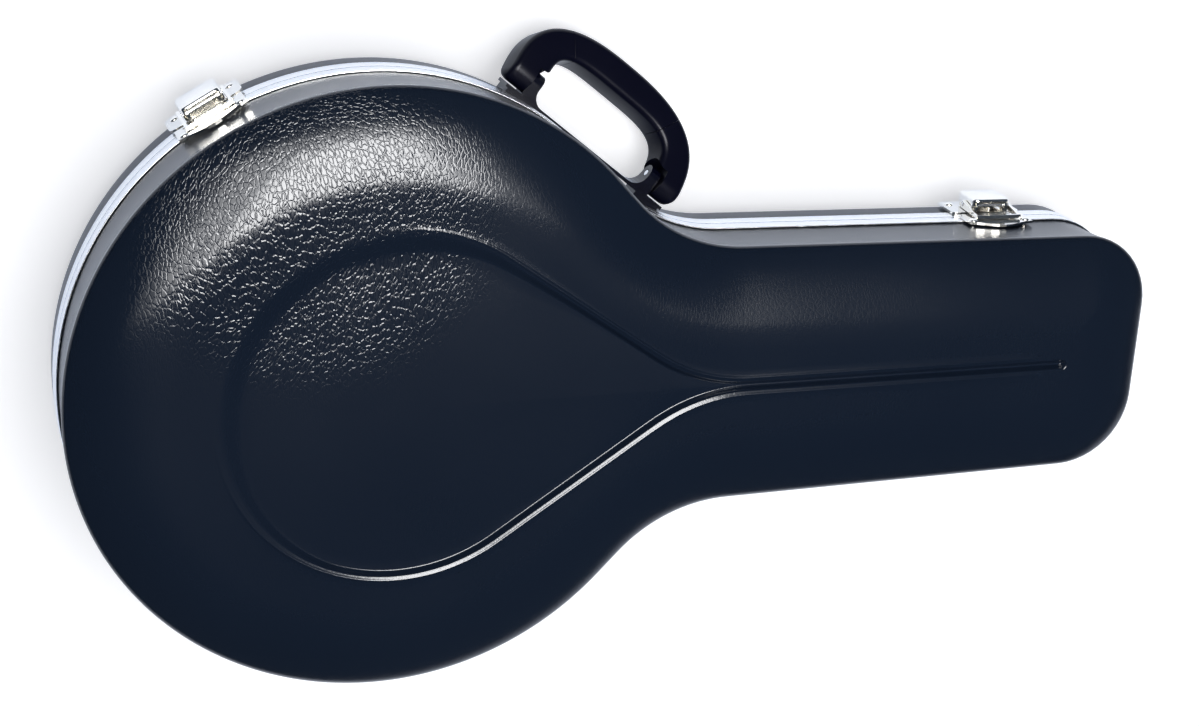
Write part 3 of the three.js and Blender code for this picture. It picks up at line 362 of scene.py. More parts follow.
@dataclass(frozen=True)
class GrainedShell(Finish):
    """Glossy moulded plastic with a leather grain of flat pebbles and narrow creases.

    Attributes:
        cell: The pebbles' size along X, Y and Z, in millimetres.
        depth: The creases' depth, in millimetres.
        drift: How far slow waves bend the grain, in millimetres, and their pitch.
        tint: The colour that the base colour drifts to.
        walls: The heights between which the grain comes in, in millimetres.
        crisp: The place where the grain is deepest, in millimetres.
        worn: The distances from there over which it fades, and the share that is left.
        dull: How much rougher the walls below the grain are.
        crease: The pebbles' edges, as distances in a cell over which a crease rises.
        ragged: The pitch of the pebbles' ragged outline, in cells, and its strength.
        tops: The pitch and the height of the unevenness on the pebbles' tops.
        smooth_walls: The share of the grain that is left on the walls.
        gloss: How much the gloss varies.
    """

    cell: Triple = (2.3, 4.8, 2.3)
    depth: float = 0.115
    drift: Pair = (42.0, 110.0)
    tint: Colour = (0.0082, 0.0138, 0.0265)
    walls: Pair = (98.0, 108.0)
    crisp: Triple = (-50.0, 115.0, 120.0)
    worn: Triple = (62.0, 120.0, 0.12)
    dull: float = 0.13
    crease: Pair = (0.015, 0.17)
    ragged: Pair = (0.9, 0.7)
    tops: Pair = (0.55, 0.4)
    smooth_walls: float = 0.04
    gloss: float = 0.06

    def dress(self, shader: Shader) -> None:
        """Adds the grain, a slow change of tint, and scuffed gloss.

        Args:
            shader: The material's node tree.
        """
        amount, pitch = self.drift
        waves = shader.noise_colour(shader.place, 1 / (pitch * MM))
        bent = shader.shifted(shader.place, waves, amount * MM)
        place = shader.stretched([1 / (size * MM) for size in self.cell], bent)
        pitch, strength = self.ragged
        ragged = shader.shifted(place, shader.noise_colour(place, pitch), strength)
        pebbles = shader.cells(ragged)
        pitch, strength = self.tops
        tops = shader.noise(ragged, pitch, 2.0)
        height = shader.ramp(pebbles, *self.crease, 0.0, 1.0) + tops * strength
        low, high = (level * MM for level in self.walls)
        moulded = shader.ramp(shader.axis(2), low, high, self.smooth_walls, 1.0)
        near, far, left = self.worn
        away = shader.distance([level * MM for level in self.crisp])
        kept = shader.ramp(away, near * MM, far * MM, 1.0, left)
        shader.set(Normal=shader.bump(height * moulded * kept, self.depth * MM))
        slow = shader.noise(shader.place, 7.0, 2.0)
        shader.set(Base_Color=shader.blend(slow, self.colour, self.tint))
        dulled = shader.ramp(shader.axis(2), low, high, self.dull, 0.0)
        gloss = slow * self.gloss + dulled + (self.roughness - self.gloss / 2)
        shader.set(Roughness=gloss)


@dataclass(frozen=True)
class BrightMetal(Finish):
    """Polished or drawn metal.

    Attributes:
        grain: The drawing marks' pitch along each axis, in millimetres.
        marks: How much the marks change the roughness.
    """

    grain: Triple = (12.0, 12.0, 0.3)
    marks: float = 0.1

    def dress(self, shader: Shader) -> None:
        """Adds fine drawing marks and a slow change of gloss.

        Args:
            shader: The material's node tree.
        """
        place = shader.stretched([1 / (pitch * MM) for pitch in self.grain])
        lines = shader.noise(place, 1.0, 2.0)
        slow = shader.noise(shader.place, 35.0)
        shader.set(Roughness=self.roughness + self.marks * (lines - 0.5) + 0.06 * (slow - 0.5))
        shader.set(Normal=shader.bump(lines, 0.01 * MM, 0.35))


@dataclass(frozen=True)
class SatinPlastic(Finish):
    """Moulded plastic with a fine satin texture.

    Attributes:
        texture: The texture's pitch, in millimetres.
        shine: The strength of its reflections, where one half is plain plastic.
    """

    texture: float = 0.5
    shine: float = 0.5

    def dress(self, shader: Shader) -> None:
        """Adds a fine even texture.

        Args:
            shader: The material's node tree.
        """
        place = shader.stretched([1 / (self.texture * MM)] * 3)
        fine = shader.noise(place, 1.0, 2.0)
        shader.set(Normal=shader.bump(fine, 0.02 * MM, 0.5))
        slow = shader.noise(shader.place, 25.0)
        shader.set(Roughness=self.roughness + 0.1 * (slow - 0.5))
        shader.set(Specular_IOR_Level=self.shine)


@dataclass(frozen=True)
class Plush(Finish):
    """Short pile over foam.

    Attributes:
        pale: The colour of the pile where it lies over.
        pile: The pile's pitch, in millimetres.
    """

    pale: Colour = (0.06, 0.072, 0.16)
    pile: float = 0.7

    def dress(self, shader: Shader) -> None:
        """Adds the pile and the brushed patches.

        Args:
            shader: The material's node tree.
        """
        place = shader.stretched([1 / (self.pile * MM)] * 3)
        pile = shader.noise(place, 1.0, 3.0, 0.7)
        patches = shader.noise(shader.place, 22.0, 3.0)
        lying = shader.ramp(patches, 0.35, 0.65, 0.0, 1.0)
        shader.set(Base_Color=shader.blend(lying * 0.6 + pile * 0.4, self.colour, self.pale))
        shader.set(Normal=shader.bump(pile, 0.35 * MM, 0.8))
        shader.set(Sheen_Weight=0.5, Sheen_Roughness=0.45, Specular_IOR_Level=0.2)


SHELL = GrainedShell("shell_plastic", (0.0064, 0.0114, 0.0232), 0.15)
BASE_SHELL = GrainedShell("base_shell_plastic", (0.0052, 0.0112, 0.0245), 0.2, walls=(14.0, 4.0))
RIM_METAL = BrightMetal("rim_metal", (0.88, 0.885, 0.89), 0.26, 1.0)
NICKEL = BrightMetal("bright_nickel", (0.86, 0.84, 0.79), 0.14, 1.0, (4.0, 4.0, 4.0), 0.05)
HANDLE_PLASTIC = SatinPlastic("handle_plastic", (0.0026, 0.0029, 0.0105), 0.3, shine=0.16)
BRACKET_PLASTIC = SatinPlastic("bracket_plastic", (0.0026, 0.0029, 0.0105), 0.16, shine=0.5)
PIN_STEEL = BrightMetal("pin_steel", (0.8, 0.8, 0.8), 0.22, 1.0, (3.0, 3.0, 3.0), 0.05)
PLUSH = Plush("plush", (0.018, 0.022, 0.06), 0.95)
BOARD = Plush("lined_board", (0.016, 0.02, 0.05), 0.92, 0.0, (0.045, 0.055, 0.12), 0.5)
TAB_LEATHER = SatinPlastic("tab_leather", (0.02, 0.02, 0.025), 0.6, 0.0, 1.2)
WELT = Plush("welt_cloth", (0.012, 0.014, 0.035), 0.9, 0.0, (0.03, 0.035, 0.07), 0.9)
THREAD = SatinPlastic("sewing_thread", (0.09, 0.1, 0.17), 0.7, 0.0, 0.6)


# Meshes


def direction(angle: float) -> Array:
    """A unit vector in a plane, at an angle in radians."""
    return np.array((math.cos(angle), math.sin(angle)))


def bend(start: Array, corner: Array, end: Array, share: float) -> Array:
    """A place on the round that leaves and reaches its ends along the corner's two sides."""
    return (1 - share) ** 2 * start + 2 * share * (1 - share) * corner + share**2 * end


def circle_arc(
    centre: Sequence[float], radius: float, start: float, end: float, steps: int
) -> list:
    """Points of an arc in a plane, angles in radians."""
    angles = np.linspace(start, end, steps + 1)
    return [(centre[0] + radius * math.cos(a), centre[1] + radius * math.sin(a)) for a in angles]


def moved_outline(points: Array, distance: float) -> Array:
    """Moves a closed outline outward, or inward where the distance is negative.

    Args:
        points: The outline's points, anticlockwise.
        distance: How far each side moves.

    Returns:
        As many points.
    """
    before = points - np.roll(points, 1, axis=0)
    after = np.roll(points, -1, axis=0) - points
    before /= np.linalg.norm(before, axis=1, keepdims=True)
    after /= np.linalg.norm(after, axis=1, keepdims=True)
    normal = np.stack((before[:, 1] + after[:, 1], -before[:, 0] - after[:, 0]), axis=1)
    scale = distance / (1 + (before * after).sum(axis=1, keepdims=True))
    return points + normal * scale


def at_height(points: Array, height: float) -> Array:
    """The points of an outline as places at one height."""
    return np.column_stack((points, np.full(len(points), height)))


def rounded_corners(
    points: Sequence[Sequence[float]], radius: float, steps: int = 3
) -> Array:
    """Rounds each corner of a closed outline.

    Args:
        points: The corners.
        radius: How far from a corner its round starts, less where a side is short.
        steps: The number of sides of each round.

    Returns:
        The rounded outline's points.
    """
    corners = np.asarray(points, float)
    made = []
    for i, corner in enumerate(corners):
        before = corners[i - 1] - corner
        after = corners[(i + 1) % len(corners)] - corner
        cut = min(radius, 0.45 * np.linalg.norm(before), 0.45 * np.linalg.norm(after))
        start = corner + before / np.linalg.norm(before) * cut
        end = corner + after / np.linalg.norm(after) * cut
        made += [bend(start, corner, end, step / steps) for step in range(steps + 1)]
    return np.array(made)


class Form:
    """Points in millimetres and faces, gathered before they become one mesh."""

    def __init__(self) -> None:
        """Starts with no points and no faces."""
        self.points: list[Array] = []
        self.faces: list[tuple[int, ...]] = []
        self.count = 0

    def add(self, points: Array) -> int:
        """Adds points and returns the first one's index.

        Args:
            points: The points.

        Returns:
            The index.
        """
        start = self.count
        self.points.append(np.asarray(points, float))
        self.count += len(points)
        return start

    def skin(
        self, loops: Sequence[Array], closed: bool = False, caps: bool = False
    ) -> "Form":
        """Joins closed loops of equal length by bands of quads.

        Args:
            loops: The loops, each an array of places.
            closed: Whether the last loop joins the first.
            caps: Whether the first and the last loop are filled.

        Returns:
            The form itself.
        """
        starts = [self.add(loop) for loop in loops]
        size = len(loops[0])
        pairs = list(zip(starts, starts[1:])) + ([(starts[-1], starts[0])] if closed else [])
        for low, high in pairs:
            for i in range(size):
                j = (i + 1) % size
                self.faces.append((low + i, low + j, high + j, high + i))
        if caps:
            self.faces.append(tuple(range(starts[0], starts[0] + size)))
            self.faces.append(tuple(range(starts[-1], starts[-1] + size)))
        return self

    def placed(self, matrix: Matrix) -> "Form":
        """The same form moved by a matrix whose lengths are millimetres.

        Args:
            matrix: The matrix.

        Returns:
            The form itself.
        """
        points = np.concatenate(self.points) @ np.array(matrix.to_3x3()).T
        self.points = [points + np.array(matrix.translation)]
        return self

    def to_object(self, name: str, finish: Finish) -> Piece:
        """Makes the object, welded, smooth and with its faces outward.

        Args:
            name: The object's name.
            finish: The surface's finish.

        Returns:
            The object, at the origin.
        """
        mesh = bpy.data.meshes.new(name)
        mesh.from_pydata((np.concatenate(self.points) * MM).tolist(), [], self.faces)
        tidy_mesh(mesh)
        mesh.materials.append(finish.build())
        return linked(name, mesh)


def linked(name: str, data: bpy.types.ID) -> Piece:
    """Makes an object of its data and puts it in the scene.

    Args:
        name: The object's name.
        data: Its mesh, lamp or camera.

    Returns:
        The object.
    """
    made = bpy.data.objects.new(name, data)
    bpy.context.scene.collection.objects.link(made)
    return made


def tidy_mesh(mesh: bpy.types.Mesh) -> None:
    """Welds a mesh, turns its faces outward and shades its shallow folds smooth.

    Args:
        mesh: The mesh.
    """
    work = bmesh.new()
    work.from_mesh(mesh)
    bmesh.ops.remove_doubles(work, verts=work.verts, dist=WELD)
    bmesh.ops.dissolve_degenerate(work, edges=work.edges, dist=WELD)
    bmesh.ops.recalc_face_normals(work, faces=work.faces)
    work.to_mesh(mesh)
    work.free()
    mesh.shade_smooth()
    mesh.set_sharp_from_angle(angle=SMOOTH_ANGLE)


def apply_modifiers(made: Piece) -> None:
    """Makes an object's evaluated mesh its own and clears its modifiers.

    Args:
        made: The object.
    """
    graph = bpy.context.evaluated_depsgraph_get()
    mesh = bpy.data.meshes.new_from_object(made.evaluated_get(graph))
    made.modifiers.clear()
    made.data = mesh


def bevelled(made: Piece, width: float, angle: float = 40.0, segments: int = 2) -> None:
    """Rounds an object's edges.

    Args:
        made: The object.
        width: The rounds' width in millimetres.
        angle: Edges folded less than this many degrees stay.
        segments: The number of bands in each round.
    """
    rounds = made.modifiers.new("rounds", "BEVEL")
    rounds.width = width * MM
    rounds.segments = segments
    rounds.limit_method = "ANGLE"
    rounds.angle_limit = math.radians(angle)
    rounds.harden_normals = True


def eased(made: Piece, width: float, angle: float, segments: int = 3) -> None:
    """Rounds an object's edges for good, with the sizes that bevelled takes."""
    bevelled(made, width, angle, segments)
    apply_modifiers(made)


def thickened(made: Piece, wall: float) -> None:
    """Gives an open skin a wall's thickness in millimetres, inward.

    Args:
        made: The object.
        wall: The wall's thickness.
    """
    solid = made.modifiers.new("wall", "SOLIDIFY")
    solid.thickness = wall * MM
    solid.offset = -1.0
    apply_modifiers(made)
    tidy_mesh(made.data)


def cut(made: Piece, tool: Piece) -> None:
    """Takes a tool away from an object and deletes the tool.

    Args:
        made: The object.
        tool: The closed object that is taken away.
    """
    bite = made.modifiers.new("bite", "BOOLEAN")
    bite.operation = "DIFFERENCE"
    bite.solver = "EXACT"
    bite.object = tool
    apply_modifiers(made)
    bpy.data.objects.remove(tool)


def sliced(made: Piece, name: str, place: Vector, normal: Vector) -> Piece:
    """A copy of an object's part that lies in front of a plane, with the cut closed.

    Args:
        made: The object.
        name: The copy's name.
        place: A place on the plane, in metres.
        normal: The plane's direction towards the part that is kept.

    Returns:
        The copy.
    """
    work = bmesh.new()
    work.from_mesh(made.data)
    everything = [*work.verts, *work.edges, *work.faces]
    bmesh.ops.bisect_plane(
        work, geom=everything, plane_co=place, plane_no=normal, clear_inner=True
    )
    open_edges = [edge for edge in work.edges if edge.is_boundary]
    bmesh.ops.holes_fill(work, edges=open_edges)
    mesh = bpy.data.meshes.new(name)
    work.to_mesh(mesh)
    work.free()
    tidy_mesh(mesh)
    for finish in made.data.materials:
        mesh.materials.append(finish)
    return linked(name, mesh)


def lathe(section: Sequence[Sequence[float]], sides: int) -> Form:
    """A solid of revolution about Z.

    Args:
        section: Points of radius and height, from one end of the axis to the other.
        sides: The number of sides.

    Returns:
        The form.
    """
    turns = [2 * math.pi * i / sides for i in range(sides)]
    loops = [
        np.array([(radius * math.cos(a), radius * math.sin(a), z) for a in turns])
        for radius, z in section
    ]
    return Form().skin(loops, caps=True)


def slab(outline: Array, low: float, high: float, edge: float, steps: int = 3) -> Form:
    """An outline extruded along Z with rounded edges.

    Args:
        outline: The outline's points, anticlockwise.
        low: The lower face's height.
        high: The upper face's height.
        edge: The radius of the rounded edges.
        steps: The number of bands in each round.

    Returns:
        The form.
    """
    section = [(edge * (1 - math.sin(t)), low + edge * (1 - math.cos(t)))
               for t in np.linspace(0, math.pi / 2, steps + 1)]
    section += [(inset, low + high - z) for inset, z in reversed(section)]
    loops = [at_height(moved_outline(outline, -inset), z) for inset, z in section]
    return Form().skin(loops, caps=True)


ALONG_X = Matrix(((0, 0, 1, 0), (1, 0, 0, 0), (0, 1, 0, 0), (0, 0, 0, 1)))


def pin_form(radius: float, reach: float) -> Form:
    """A pin along X, centred, with slightly domed ends.

    Args:
        radius: The pin's radius.
        reach: Half its length, less its dome.

    Returns:
        The form.
    """
    ends = [
        (PIN_TIP, reach + PIN_DOME),
        (radius * 0.7, reach + PIN_DOME * 0.75),
        (radius, reach - PIN_DOME * 0.5),
    ]
    section = [(r, -x) for r, x in ends] + [(r, x) for r, x in reversed(ends)]
    return lathe(section, PIN_SIDES).placed(ALONG_X)


# Repeated and path-following details, by Geometry Nodes


class Tree(Nodes):
    """A Geometry Nodes tree with named inputs, run once on a mesh."""

    def __init__(self, name: str, **sizes: float) -> None:
        """Makes the tree.

        Args:
            name: The tree's name.
            **sizes: Its inputs by name, in metres or as shares.
        """
        super().__init__(bpy.data.node_groups.new(name, "GeometryNodeTree"))
        self.sizes = sizes
        sockets = self.tree.interface
        sockets.new_socket("Geometry", in_out="INPUT", socket_type="NodeSocketGeometry")
        self.keys = {}
        for key in sizes:
            made = sockets.new_socket(key, in_out="INPUT", socket_type="NodeSocketFloat")
            self.keys[key] = made.identifier
        made = sockets.new_socket("Finish", in_out="INPUT", socket_type="NodeSocketMaterial")
        self.keys["Finish"] = made.identifier
        sockets.new_socket("Geometry", in_out="OUTPUT", socket_type="NodeSocketGeometry")
        self.given = self.tree.nodes.new("NodeGroupInput").outputs
        self.result = self.tree.nodes.new("NodeGroupOutput").inputs[0]

    def path(self) -> bpy.types.NodeSocket:
        """The given mesh of edges as a curve."""
        return self.node("GeometryNodeMeshToCurve", Mesh=self.given["Geometry"]).outputs[0]

    def close(self, geometry: bpy.types.NodeSocket) -> None:
        """Ends the tree in plain geometry with its finish.

        Args:
            geometry: What the tree made.
        """
        real = self.node("GeometryNodeRealizeInstances", Geometry=geometry).outputs[0]
        smooth = self.node("GeometryNodeSetShadeSmooth", Geometry=real).outputs[0]
        finish = self.given["Finish"]
        painted = self.node("GeometryNodeSetMaterial", Geometry=smooth, Material=finish)
        self.tree.links.new(painted.outputs[0], self.result)

    def run(self, made: Piece, finish: Finish) -> Piece:
        """Runs the tree on an object and keeps the result as its mesh.

        Args:
            made: The object.
            finish: The finish of what is made.

        Returns:
            The object.
        """
        modifier = made.modifiers.new("details", "NODES")
        modifier.node_group = self.tree
        for key, value in self.sizes.items():
            modifier[self.keys[key]] = value
        modifier[self.keys["Finish"]] = finish.build()
        apply_modifiers(made)
        return made


def rivet_tree(radius: float, height: float) -> Tree:
    """A tree that sets a domed head on each point, facing along the point's own direction.

    Args:
        radius: A head's radius.
        height: A head's rise.

    Returns:
        The tree.
    """
    tree = Tree("rivet_heads", Radius=radius * MM, Height=height / radius)
    facing = tree.node(
        "GeometryNodeInputNamedAttribute", {"data_type": "FLOAT_VECTOR"}, Name="facing"
    ).outputs[0]
    turn = tree.node("FunctionNodeAlignRotationToVector", {"axis": "Z"}, Vector=facing).outputs[0]
    radius = tree.given["Radius"]
    ball = tree.node("GeometryNodeMeshUVSphere", Segments=24, Rings=14, Radius=radius)
    flat = tree.node("ShaderNodeCombineXYZ", X=1.0, Y=1.0, Z=tree.given["Height"]).outputs[0]
    head = tree.node("GeometryNodeTransform", Geometry=ball.outputs[0], Scale=flat).outputs[0]
    spread = tree.node(
        "GeometryNodeInstanceOnPoints", Points=tree.given["Geometry"], Instance=head, Rotation=turn
    )
    tree.close(spread.outputs[0])
    return tree


def cord_tree(radius: float) -> Tree:
    """A tree that turns a path into a round welt.

    Args:
        radius: The welt's radius.

    Returns:
        The tree.
    """
    tree = Tree("welt", Radius=radius * MM)
    size = {"Resolution": 12, "Radius": tree.given["Radius"]}
    ring = tree.node("GeometryNodeCurvePrimitiveCircle", {"mode": "RADIUS"}, **size).outputs[0]
    tube = tree.node("GeometryNodeCurveToMesh", Curve=tree.path(), Profile_Curve=ring)
    tree.close(tube.outputs[0])
    return tree


def stitch_tree(pitch: float, length: float, radius: float) -> Tree:
    """A tree that lays stitches along a path.

    Args:
        pitch: The way from stitch to stitch.
        length: A stitch's length.
        radius: Half its thickness.

    Returns:
        The tree.
    """
    tree = Tree("stitches", Pitch=pitch * MM, Length=length / 2 * MM, Radius=radius * MM)
    along = {"Curve": tree.path(), "Length": tree.given["Pitch"]}
    spots = tree.node("GeometryNodeCurveToPoints", {"mode": "LENGTH"}, **along)
    ball = tree.node("GeometryNodeMeshUVSphere", Segments=8, Rings=6, Radius=1.0).outputs[0]
    thick, long = tree.given["Radius"], tree.given["Length"]
    scale = tree.node("ShaderNodeCombineXYZ", X=thick, Y=thick, Z=long).outputs[0]
    spread = tree.node(
        "GeometryNodeInstanceOnPoints",
        Points=spots.outputs["Points"],
        Instance=ball,
        Rotation=spots.outputs["Rotation"],
        Scale=scale,
    )
    tree.close(spread.outputs[0])
    return tree


def path_object(name: str, points: Array) -> Piece:
    """A mesh of edges along a closed path, for the trees above.

    Args:
        name: The object's name.
        points: The path's places, in millimetres.

    Returns:
        The object.
    """
    count = len(points)
    edges = [(i, (i + 1) % count) for i in range(count)]
    mesh = bpy.data.meshes.new(name)
    mesh.from_pydata((np.asarray(points) * MM).tolist(), edges, [])
    return linked(name, mesh)


def rivets(name: str, spots: Sequence[tuple[Vector, Vector]], finish: Finish) -> Piece:
    """Domed rivet heads as one mesh.

    Args:
        name: The object's name.
        spots: Places in millimetres and outward directions.
        finish: The heads' finish.

    Returns:
        The object.
    """
    mesh = bpy.data.meshes.new(name)
    mesh.from_pydata([tuple(place * MM) for place, _ in spots], [], [])
    facing = mesh.attributes.new("facing", "FLOAT_VECTOR", "POINT")
    for item, (_, direction) in zip(facing.data, spots):
        item.vector = direction
    return rivet_tree(RIVET_RADIUS, RIVET_RISE).run(linked(name, mesh), finish)


# The case's outline


@dataclass(frozen=True)
class Bulb:
    """A round body with a straight neck, seen from above, in millimetres.

    Attributes:
        radius: The round body's radius.
        reach: How far the neck's end lies from the body's centre.
        root_half_width: Half the neck's width beside the body.
        end_half_width: Half the neck's width at its end.
        flank_angle: Where the straight flank leaves the body, in degrees.
        fillet: The radius between the flank and the neck.
        corner: The radius of the neck's end corners.
        shift: How far the whole outline is moved along X.
        counts: The points of the end, its corner, the side, the fillet, the flank and the body.
    """

    radius: float
    reach: float
    root_half_width: float
    end_half_width: float
    flank_angle: float
    fillet: float
    corner: float
    shift: float = 0.0
    counts: tuple[int, int, int, int, int, int] = (10, 12, 44, 18, 6, 96)

    @property
    def slope(self) -> float:
        """How much half the width changes per millimetre of the neck."""
        return (self.end_half_width - self.root_half_width) / (self.reach - self.radius)

    def half_width(self, x: float) -> float:
        """Half the neck's width at a place along it."""
        return self.root_half_width + self.slope * (x - self.radius)

    def _corner_at(self, inset: float) -> Array:
        """Where the end's line and the side's line meet when both are moved inward."""
        x = self.reach - inset
        return np.array((x, self.half_width(x) - inset * math.hypot(1, self.slope)))

    def _tangent_arc(
        self, corner: Array, before: Array, after: Array, radius: float
    ) -> tuple[Array, float, float]:
        """The centre and the two angles of a round that touches both lines of a corner.

        Args:
            corner: Where the lines meet.
            before: The direction towards the corner.
            after: The direction away from it.
            radius: The round's radius.

        Returns:
            The centre and the angles, in radians.
        """
        half = math.acos(float(np.clip(before @ after, -1, 1))) / 2
        start = corner - before * radius * math.tan(half)
        left = np.array((-before[1], before[0]))
        side = 1.0 if left @ after > 0 else -1.0
        centre = start + left * side * radius
        first = math.atan2(*(start - centre)[::-1])
        return centre, first, first + side * 2 * half

    def upper(self) -> list[tuple[Array, Array, str]]:
        """Places, outward directions and kinds of the upper half, from the neck's end on.

        Returns:
            A place, a direction and a kind for each point.
        """
        inward = np.array((-1.0, -self.slope)) / math.hypot(1, self.slope)
        side_normal = np.array((-self.slope, 1.0)) / math.hypot(1, self.slope)
        turn = math.radians(self.flank_angle)
        rim = direction(turn)
        up_flank = np.array((-rim[1], rim[0]))
        on_rim = rim * self.radius
        above = on_rim[1] - self.half_width(on_rim[0])
        length = above / (up_flank[1] - self.slope * up_flank[0])
        root = on_rim - up_flank * length
        end_n, corner_n, side_n, fillet_n, flank_n, body_n = self.counts
        made: list[tuple[Array, Array, str]] = []
        corner = min(self.corner, self.end_half_width * 0.999)
        up = np.array((0.0, 1.0))
        centre, first, last = self._tangent_arc(self._corner_at(0), up, inward, corner)
        for t in np.linspace(0, 1, end_n, endpoint=False):
            made.append((np.array((self.reach, centre[1] * t)), np.array((1.0, 0.0)), "end"))
        for a in np.linspace(first, last, corner_n + 1):
            normal = direction(a)
            made.append((centre + corner * normal, normal, "corner"))
        start = made[-1][0]
        centre, first, last = self._tangent_arc(root, inward, up_flank, self.fillet)
        finish = centre + self.fillet * direction(first)
        for t in np.linspace(0, 1, side_n, endpoint=False)[1:]:
            made.append((start + (finish - start) * t, side_normal, "side"))
        for a in np.linspace(first, last, fillet_n + 1):
            outward = direction(a)
            made.append((centre + self.fillet * outward, -outward, "round"))
        start = made[-1][0]
        for t in np.linspace(0, 1, flank_n, endpoint=False)[1:]:
            made.append((start + (on_rim - start) * t, rim, "round"))
        for a in np.linspace(turn, math.pi, body_n + 1):
            normal = direction(a)
            made.append((self.radius * normal, normal, "round"))
        return made

    def loop(self, out: float) -> Array:
        """The closed outline moved outward, or inward where the distance is negative.

        Args:
            out: How far outward.

        Returns:
            The points, anticlockwise, with corners that never turn inside out.
        """
        inset = -out
        meet = self._corner_at(inset)
        centre_y = self.end_half_width - self.corner
        half = []
        for place, normal, kind in self.upper():
            point = place + normal * out
            if inset > self.corner and kind == "corner":
                point = meet
            elif inset > self.corner and kind == "end":
                point = np.array((point[0], min(point[1], meet[1])))
            elif inset > self.corner and kind == "side" and point[0] > meet[0]:
                point = meet
            half.append(point)
        upper = np.array(half)
        upper[0, 1] = 0.0
        upper[-1, 1] = 0.0
        lower = upper[1:-1][::-1] * (1, -1)
        return np.concatenate((upper, lower)) + (self.shift, 0.0)

    def spine(self, end: float) -> Array:
        """One place on the centre line for each point of the outline.

        Args:
            end: How far along X the line reaches.

        Returns:
            The places, spread so that ribs to them never cross.
        """
        flank = self.radius * math.cos(math.radians(self.flank_angle))
        neck = self.radius + self.fillet * math.sin(math.radians(self.flank_angle / 2))
        x = self.loop(0)[:, 0] - self.shift
        spread = np.where(x > neck, x, (x - flank) / (neck - flank) * neck)
        spread = np.clip(spread, 0, end)
        return np.column_stack((spread + self.shift, np.zeros(len(x))))


CASE = Bulb(190.0, 513.0, 82.3, 76.9, 42.9, 102.94, 46.0)
RELIEF = Bulb(110.0, 448.0, 3.2, 3.2, 55.5, 110.0, 3.15, 4.0)
POCKET = Bulb(158.0, 491.0, 47.0, 47.0, 30.0, 26.0, 8.0)


def mixed(low: Array, high: Array, share: float | Array) -> Array:
    """Places part of the way from one loop to another."""
    return low * (1 - share) + high * share


def crossings(outer: Array, spine: Array, outline: Array) -> Array:
    """Where the ribs from a loop to its spine first meet an outline.

    Args:
        outer: The loop's points.
        spine: One point of the centre line for each of them.
        outline: The closed outline that the ribs cross.

    Returns:
        A point for each rib, on the spine where the rib meets nothing.
    """
    start, run = outer[:, None, :], (spine - outer)[:, None, :]
    corner = outline[None, :, :]
    side = (np.roll(outline, -1, axis=0) - outline)[None, :, :]
    gap = corner - start
    cross = run[..., 0] * side[..., 1] - run[..., 1] * side[..., 0]
    cross = np.where(np.abs(cross) < PARALLEL, PARALLEL, cross)
    along = (gap[..., 0] * side[..., 1] - gap[..., 1] * side[..., 0]) / cross
    across = (gap[..., 0] * run[..., 1] - gap[..., 1] * run[..., 0]) / cross
    hit = (along >= 0) & (along <= 1) & (across >= -SLACK) & (across <= 1 + SLACK)
    first = np.where(hit, along, 1.0).min(axis=1)
    return outer + (spine - outer) * first[:, None]


# Shells


